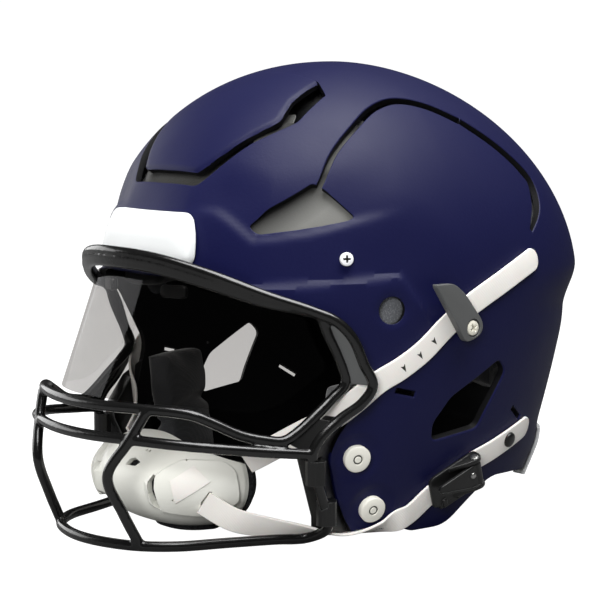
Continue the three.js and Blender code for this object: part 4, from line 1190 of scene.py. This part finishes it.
def screw_head(matrix, radius, height, base=-0.6):
    profile = [(0, base), (radius, base), (radius, height * 0.35), (radius * 0.93, height * 0.7),
               (radius * 0.7, height * 0.93), (radius * 0.35, height), (0, height)]
    return combine(lathe("screw", matrix, profile),
                   cross_recess(matrix, radius * 1.25, radius * 0.34, height, height + 0.2))


DISC_HIGH = 2.9


def build_discs():
    for level, at in DISCS.items():
        matrix, high = side_frame(at, (0, 1)), DISC_HIGH
        face = [(0, -1.2), (7.3, -1.2), (7.5, high - 0.9), (7.2, high - 0.35), (6.6, high - 0.05), (2.9, high),
                (2.75, high - 0.5), (2.3, high - 0.5), (2.25, high - 0.9), (0, high - 0.9)]
        node = f"release_disc_{level}_{{}}"
        pair(lathe("d", matrix, face, 64), f"release_button_{level}", DISC_WHITE, [node], 35)
        # A black ring round the plunger at the foot of the disc's pocket: painted shade in the gap between
        # plunger and disc.
        gap = lathe("g", matrix, [(0, 0), (2.6, 0), (2.6, high - 0.42), (0, high - 0.42)], 36)
        combine(gap, lathe("c", matrix, [(0, -1), (1.97, -1), (1.97, high + 1), (0, high + 1)], 36))
        pair(gap, f"release_gap_{level}", BLACK, (), 35)
        pin = [(0, -1.0), (1.95, -1.0), (1.95, high - 0.35), (1.6, high - 0.05), (0, high - 0.05)]
        node = f"release_pin_{level}_{{}}"
        pair(lathe("p", matrix, pin, 36), f"release_plunger_{level}", DISC_WHITE, [node], 35, node)


def build_fittings():
    matrix = side_frame(SHELL_SCREW, (0, 1), -0.9)
    pair(screw_head(matrix, 3.7, 1.5), "side_screw", SCREW_WHITE, ["shell_screw_{}"], 35)
    # A black cross sunk in the screw head's recess: painted shade that darkens the pit.
    pair(cross_recess(matrix, 3.9, 1.1, 0.95, 0.8, 0.02), "side_screw_pit", BLACK, (), 35)
    snap = [(0, -0.4), (4.3, -0.4), (4.4, 0.6), (4.0, 1.5), (3.1, 2.1), (1.6, 2.45), (0, 2.5)]
    matrix = side_frame(SNAP, (0, 1), STRAP_LIFT + STRAP_THICK)
    pair(lathe("snap", matrix, snap), "strap_stud", BLACK, ["strap_snap_{}"], 60)
    top = on_top([(0, 100)])
    valve = [(0, -0.5), (5.2, -0.5), (5.2, 0.5), (4.6, 1.1), (2.2, 1.3), (1.7, 0.9), (1.2, 0.4), (1.1, -0.3),
             (0, -0.3)]
    valve = lathe("valve", frame_at(top[0], normals(top)[0], (1, 0, 0)), valve)
    finish(valve, BLACK, ["inflation_valve"], 50)


ARM_OUTLINE = [(0, -7.6), (18, -6), (24.5, -4.2), (29, -2.2), (36, 7.6), (34.5, 8.4), (-3, 8.6), (-5.2, 4),
               (-6.4, -2), (-4.5, -6)]
ARM_LOW, ARM_DISH, ARM_HIGH = 3.2, 6.0, 7.6


def build_strap_arm():
    matrix = frame_at(on_side([ARM_SCREW])[0], (1, 0, 0), (0, -0.57, 0.82))
    arm = plate("arm", matrix, round_corners(ARM_OUTLINE, 2.4, 4), ARM_LOW, ARM_HIGH, 1.0, 4)
    combine(arm, lathe("c", matrix, [(0, ARM_DISH), (4.9, ARM_DISH), (5.1, 9), (0, 9)]))
    pair(arm, "keeper_arm", ARM_BLACK, ["strap_arm_{}"], 35, "strap_arm_{}")
    lifted = matrix.copy()
    lifted[0, 3] += ARM_DISH + 0.2
    pair(screw_head(lifted, 4.2, 1.6, -0.3), "keeper_screw", KEEPER_SCREW, ["arm_screw_{}"], 35)


BUCKLE_AT, BUCKLE_ALONG = (-1.2, 29.4), (35, 17)
BUCKLE_LOW, BUCKLE_HIGH, SKIRT_LOW = 3.4, 5.4, 0.9
PIN_X, PIN_Z, LEVER_THICK = 13, 9, 2.4
BUCKLE_OUTLINE = [(-17, -9), (-13, -10.5), (14, -10.5), (17, -8), (17, 8), (14, 10.5), (-13, 10.5), (-17, 9)]
CHEEK_OUTLINE = [(-3, 0.4), (17, 0.4), (17, 7), (13.5, 8.8), (8, 7.4), (-3, 2.4)]
SKIRT_OUTLINE = [(-13, -12.6), (-13, -9.5), (16.4, -9.5), (16.4, -12.6), (10, -13.6), (-6, -13.6)]
FLAP_OUTLINE = [(14.6, -6.4), (14.6, 7.0), (-13.5, 7.0), (-15.5, 5.0), (-14.5, 2.6), (-1, -3.6), (6, -7.0),
                (12.5, -7.4)]
RIDGE_OUTLINE = [(-14.6, 2.4), (-1.1, -3.9), (6, -7.3), (12.3, -7.6), (12.0, -6.6), (6.4, -6.0), (-0.7, -2.7),
                 (-14.2, 3.5)]
PIN_PROFILE = [(0, -10.9), (1.6, -10.9), (2.3, -10.7), (2.3, -10.4), (1.5, -10.4), (1.5, 10.4), (2.3, 10.4),
               (2.3, 10.7), (1.6, 10.9), (0, 10.9)]


def build_buckle():
    matrix = side_frame(BUCKLE_AT, BUCKLE_ALONG)
    base = plate("base", matrix, round_corners(BUCKLE_OUTLINE, 2), BUCKLE_LOW, BUCKLE_HIGH)
    across = frame_at(matrix[:3, 3], matrix[:3, 1], matrix[:3, 0])
    cheek = round_corners(np.array(CHEEK_OUTLINE) + (0, BUCKLE_LOW), 2.2) * (1, -1)
    for low, high in ((7.6, 10.4), (-10.4, -7.6)):
        combine(base, plate("cheek", across, cheek, low, high), "UNION")
    skirt = round_corners(SKIRT_OUTLINE, 1.2, 3)
    combine(base, plate("skirt", matrix, skirt, SKIRT_LOW, BUCKLE_HIGH, 0.6), "UNION")
    for x, width in ((-9.5, 3.2), (1.2, 4.4), (11.6, 4.0)):
        band = rounded_rectangle(width, 5.4, 0.6, x, -9.6)
        combine(base, plate("band", matrix, band, BUCKLE_LOW + 0.6, BUCKLE_LOW + 3.2), "UNION")
    pair(base, "cam_buckle_base", BLACK, ["buckle_base_{}"], 35)
    pin_matrix = frame_at(moved([PIN_X, 0, PIN_Z], matrix), matrix[:3, 1], matrix[:3, 0])
    pair(lathe("pin", pin_matrix, PIN_PROFILE, 32), "cam_buckle_pin", STEEL, ["lever_pin_{}"], 35)
    top = PIN_Z + LEVER_THICK
    lever = plate("lever", matrix, round_corners(FLAP_OUTLINE, 1.2, 3), PIN_Z, top, 0.6)
    barrel = [(0, -7), (2.4, -7), (3.0, -6.4), (3.0, 6.4), (2.4, 7), (0, 7)]
    combine(lever, lathe("barrel", pin_matrix, barrel, 32), "UNION")
    combine(lever, plate("ridge", matrix, RIDGE_OUTLINE, top - 0.4, top + 0.7, 0.25, 2), "UNION")
    combine(lever, lathe("c", pin_matrix, [(0, -9), (1.75, -9), (1.75, 9), (0, 9)], 28))
    stud = matrix.copy()
    stud[:3, 3] = moved([8.5, 1.2, top], matrix)
    rivet = [(0, -0.3), (1.9, -0.3), (1.9, 0.3), (1.4, 0.9), (0.6, 1.1), (0, 1.1)]
    pair(lathe("rivet", stud, rivet, 28), "cam_buckle_rivet", STEEL, (), 40, "cam_lever_{}")
    pair(lever, "cam_buckle_lever", BLACK, ["cam_lever_{}"], 35, "cam_lever_{}")


def paint_clips():
    """The mask clips are the CAD's own meshes."""
    for level in DISCS:
        for side in SIDES:
            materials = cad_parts[f"mask_clip_{level}_{side}"].data.materials
            materials.clear()
            materials.append(BLACK[0])


build_discs()
build_fittings()
build_strap_arm()
build_buckle()
paint_clips()

# ---- Floor, light and camera, in metres -------------------

AZIMUTH, ELEVATION, DISTANCE, AIM_HEIGHT = math.radians(50.0), math.radians(6.19), 1.22, 0.123
WORLD_LIGHT, SEEN_LIGHT = 0.045, 1.05  # the backdrop's strength for the scene and for the camera
# Each light's name, place, size, power and whether it is seen in reflections.
LIGHTS = [
    ("top", (0.4, 0.0, 1.6), (1.5, 1.2), 50, True),
    ("fill", (1.3, -1.6, 0.8), (0.7, 0.7), 30, False),
    ("front", (-0.3, -1.8, 0.35), (0.6, 0.5), 7, False),
    ("left", (-1.5, -0.5, 0.5), (1.8, 0.8), 11, True),
    ("back", (0.3, 1.5, 0.9), (1.2, 0.8), 3, False),
]


def build_stage():
    mesh = bpy.data.meshes.new("floor")
    mesh.from_pydata([(-6, -6, 0), (6, -6, 0), (6, 6, 0), (-6, 6, 0)], [], [(0, 1, 2, 3)])
    floor = linked("floor", mesh)
    floor.location.z = -0.0005
    n = Nodes("pale_floor")
    seen = n.add("LightPath").outputs["Is Camera Ray"]
    floor.data.materials.append(n.made({
        "Base Color": n.mix(n.noise(3, 2), (0.17, 0.17, 0.17, 1), (0.19, 0.19, 0.19, 1)), "Roughness": 0.8,
        "Specular IOR Level": 0.1, "Emission Color": (1.0, 1.0, 1.0, 1.0),
        "Emission Strength": n.times(seen, SEEN_LIGHT)}))


def build_lights():
    world = bpy.data.worlds.new("studio")
    bpy.context.scene.world = world
    world.use_nodes = True
    tree = world.node_tree
    back = tree.nodes["Background"]
    back.inputs["Color"].default_value = (1, 1, 1, 1)
    path = tree.nodes.new("ShaderNodeLightPath")
    level = tree.nodes.new("ShaderNodeMapRange")
    level.inputs["To Min"].default_value = WORLD_LIGHT
    level.inputs["To Max"].default_value = SEEN_LIGHT
    tree.links.new(path.outputs["Is Camera Ray"], level.inputs["Value"])
    tree.links.new(level.outputs["Result"], back.inputs["Strength"])
    for name, location, size, power, mirrored in LIGHTS:
        light = bpy.data.lights.new(name, "AREA")
        light.shape, light.size, light.size_y, light.energy = "RECTANGLE", *size, power
        obj = linked(name, light)
        obj.location = location
        obj.visible_glossy = mirrored
        aim = Vector((0, 0, 0.12)) - Vector(location)
        obj.rotation_euler = aim.to_track_quat("-Z", "Y").to_euler()


def build_camera():
    camera = bpy.data.cameras.new("camera")
    camera.lens, camera.sensor_width = 124.4, 36
    camera.shift_x, camera.shift_y = -0.053, -0.0104
    obj = linked("camera", camera)
    flat = math.cos(ELEVATION)
    back = Vector((math.sin(AZIMUTH) * flat, -math.cos(AZIMUTH) * flat, math.sin(ELEVATION)))
    right = Vector((math.cos(AZIMUTH), math.sin(AZIMUTH), 0))
    matrix = Matrix((right, back.cross(right), back)).transposed().to_4x4()
    matrix.translation = Vector((0, SHIFT * MM, AIM_HEIGHT)) + back * DISTANCE
    obj.matrix_world = matrix
    bpy.context.scene.camera = obj


build_stage()
build_lights()
build_camera()
bpy.context.scene.view_settings.view_transform = "Standard"
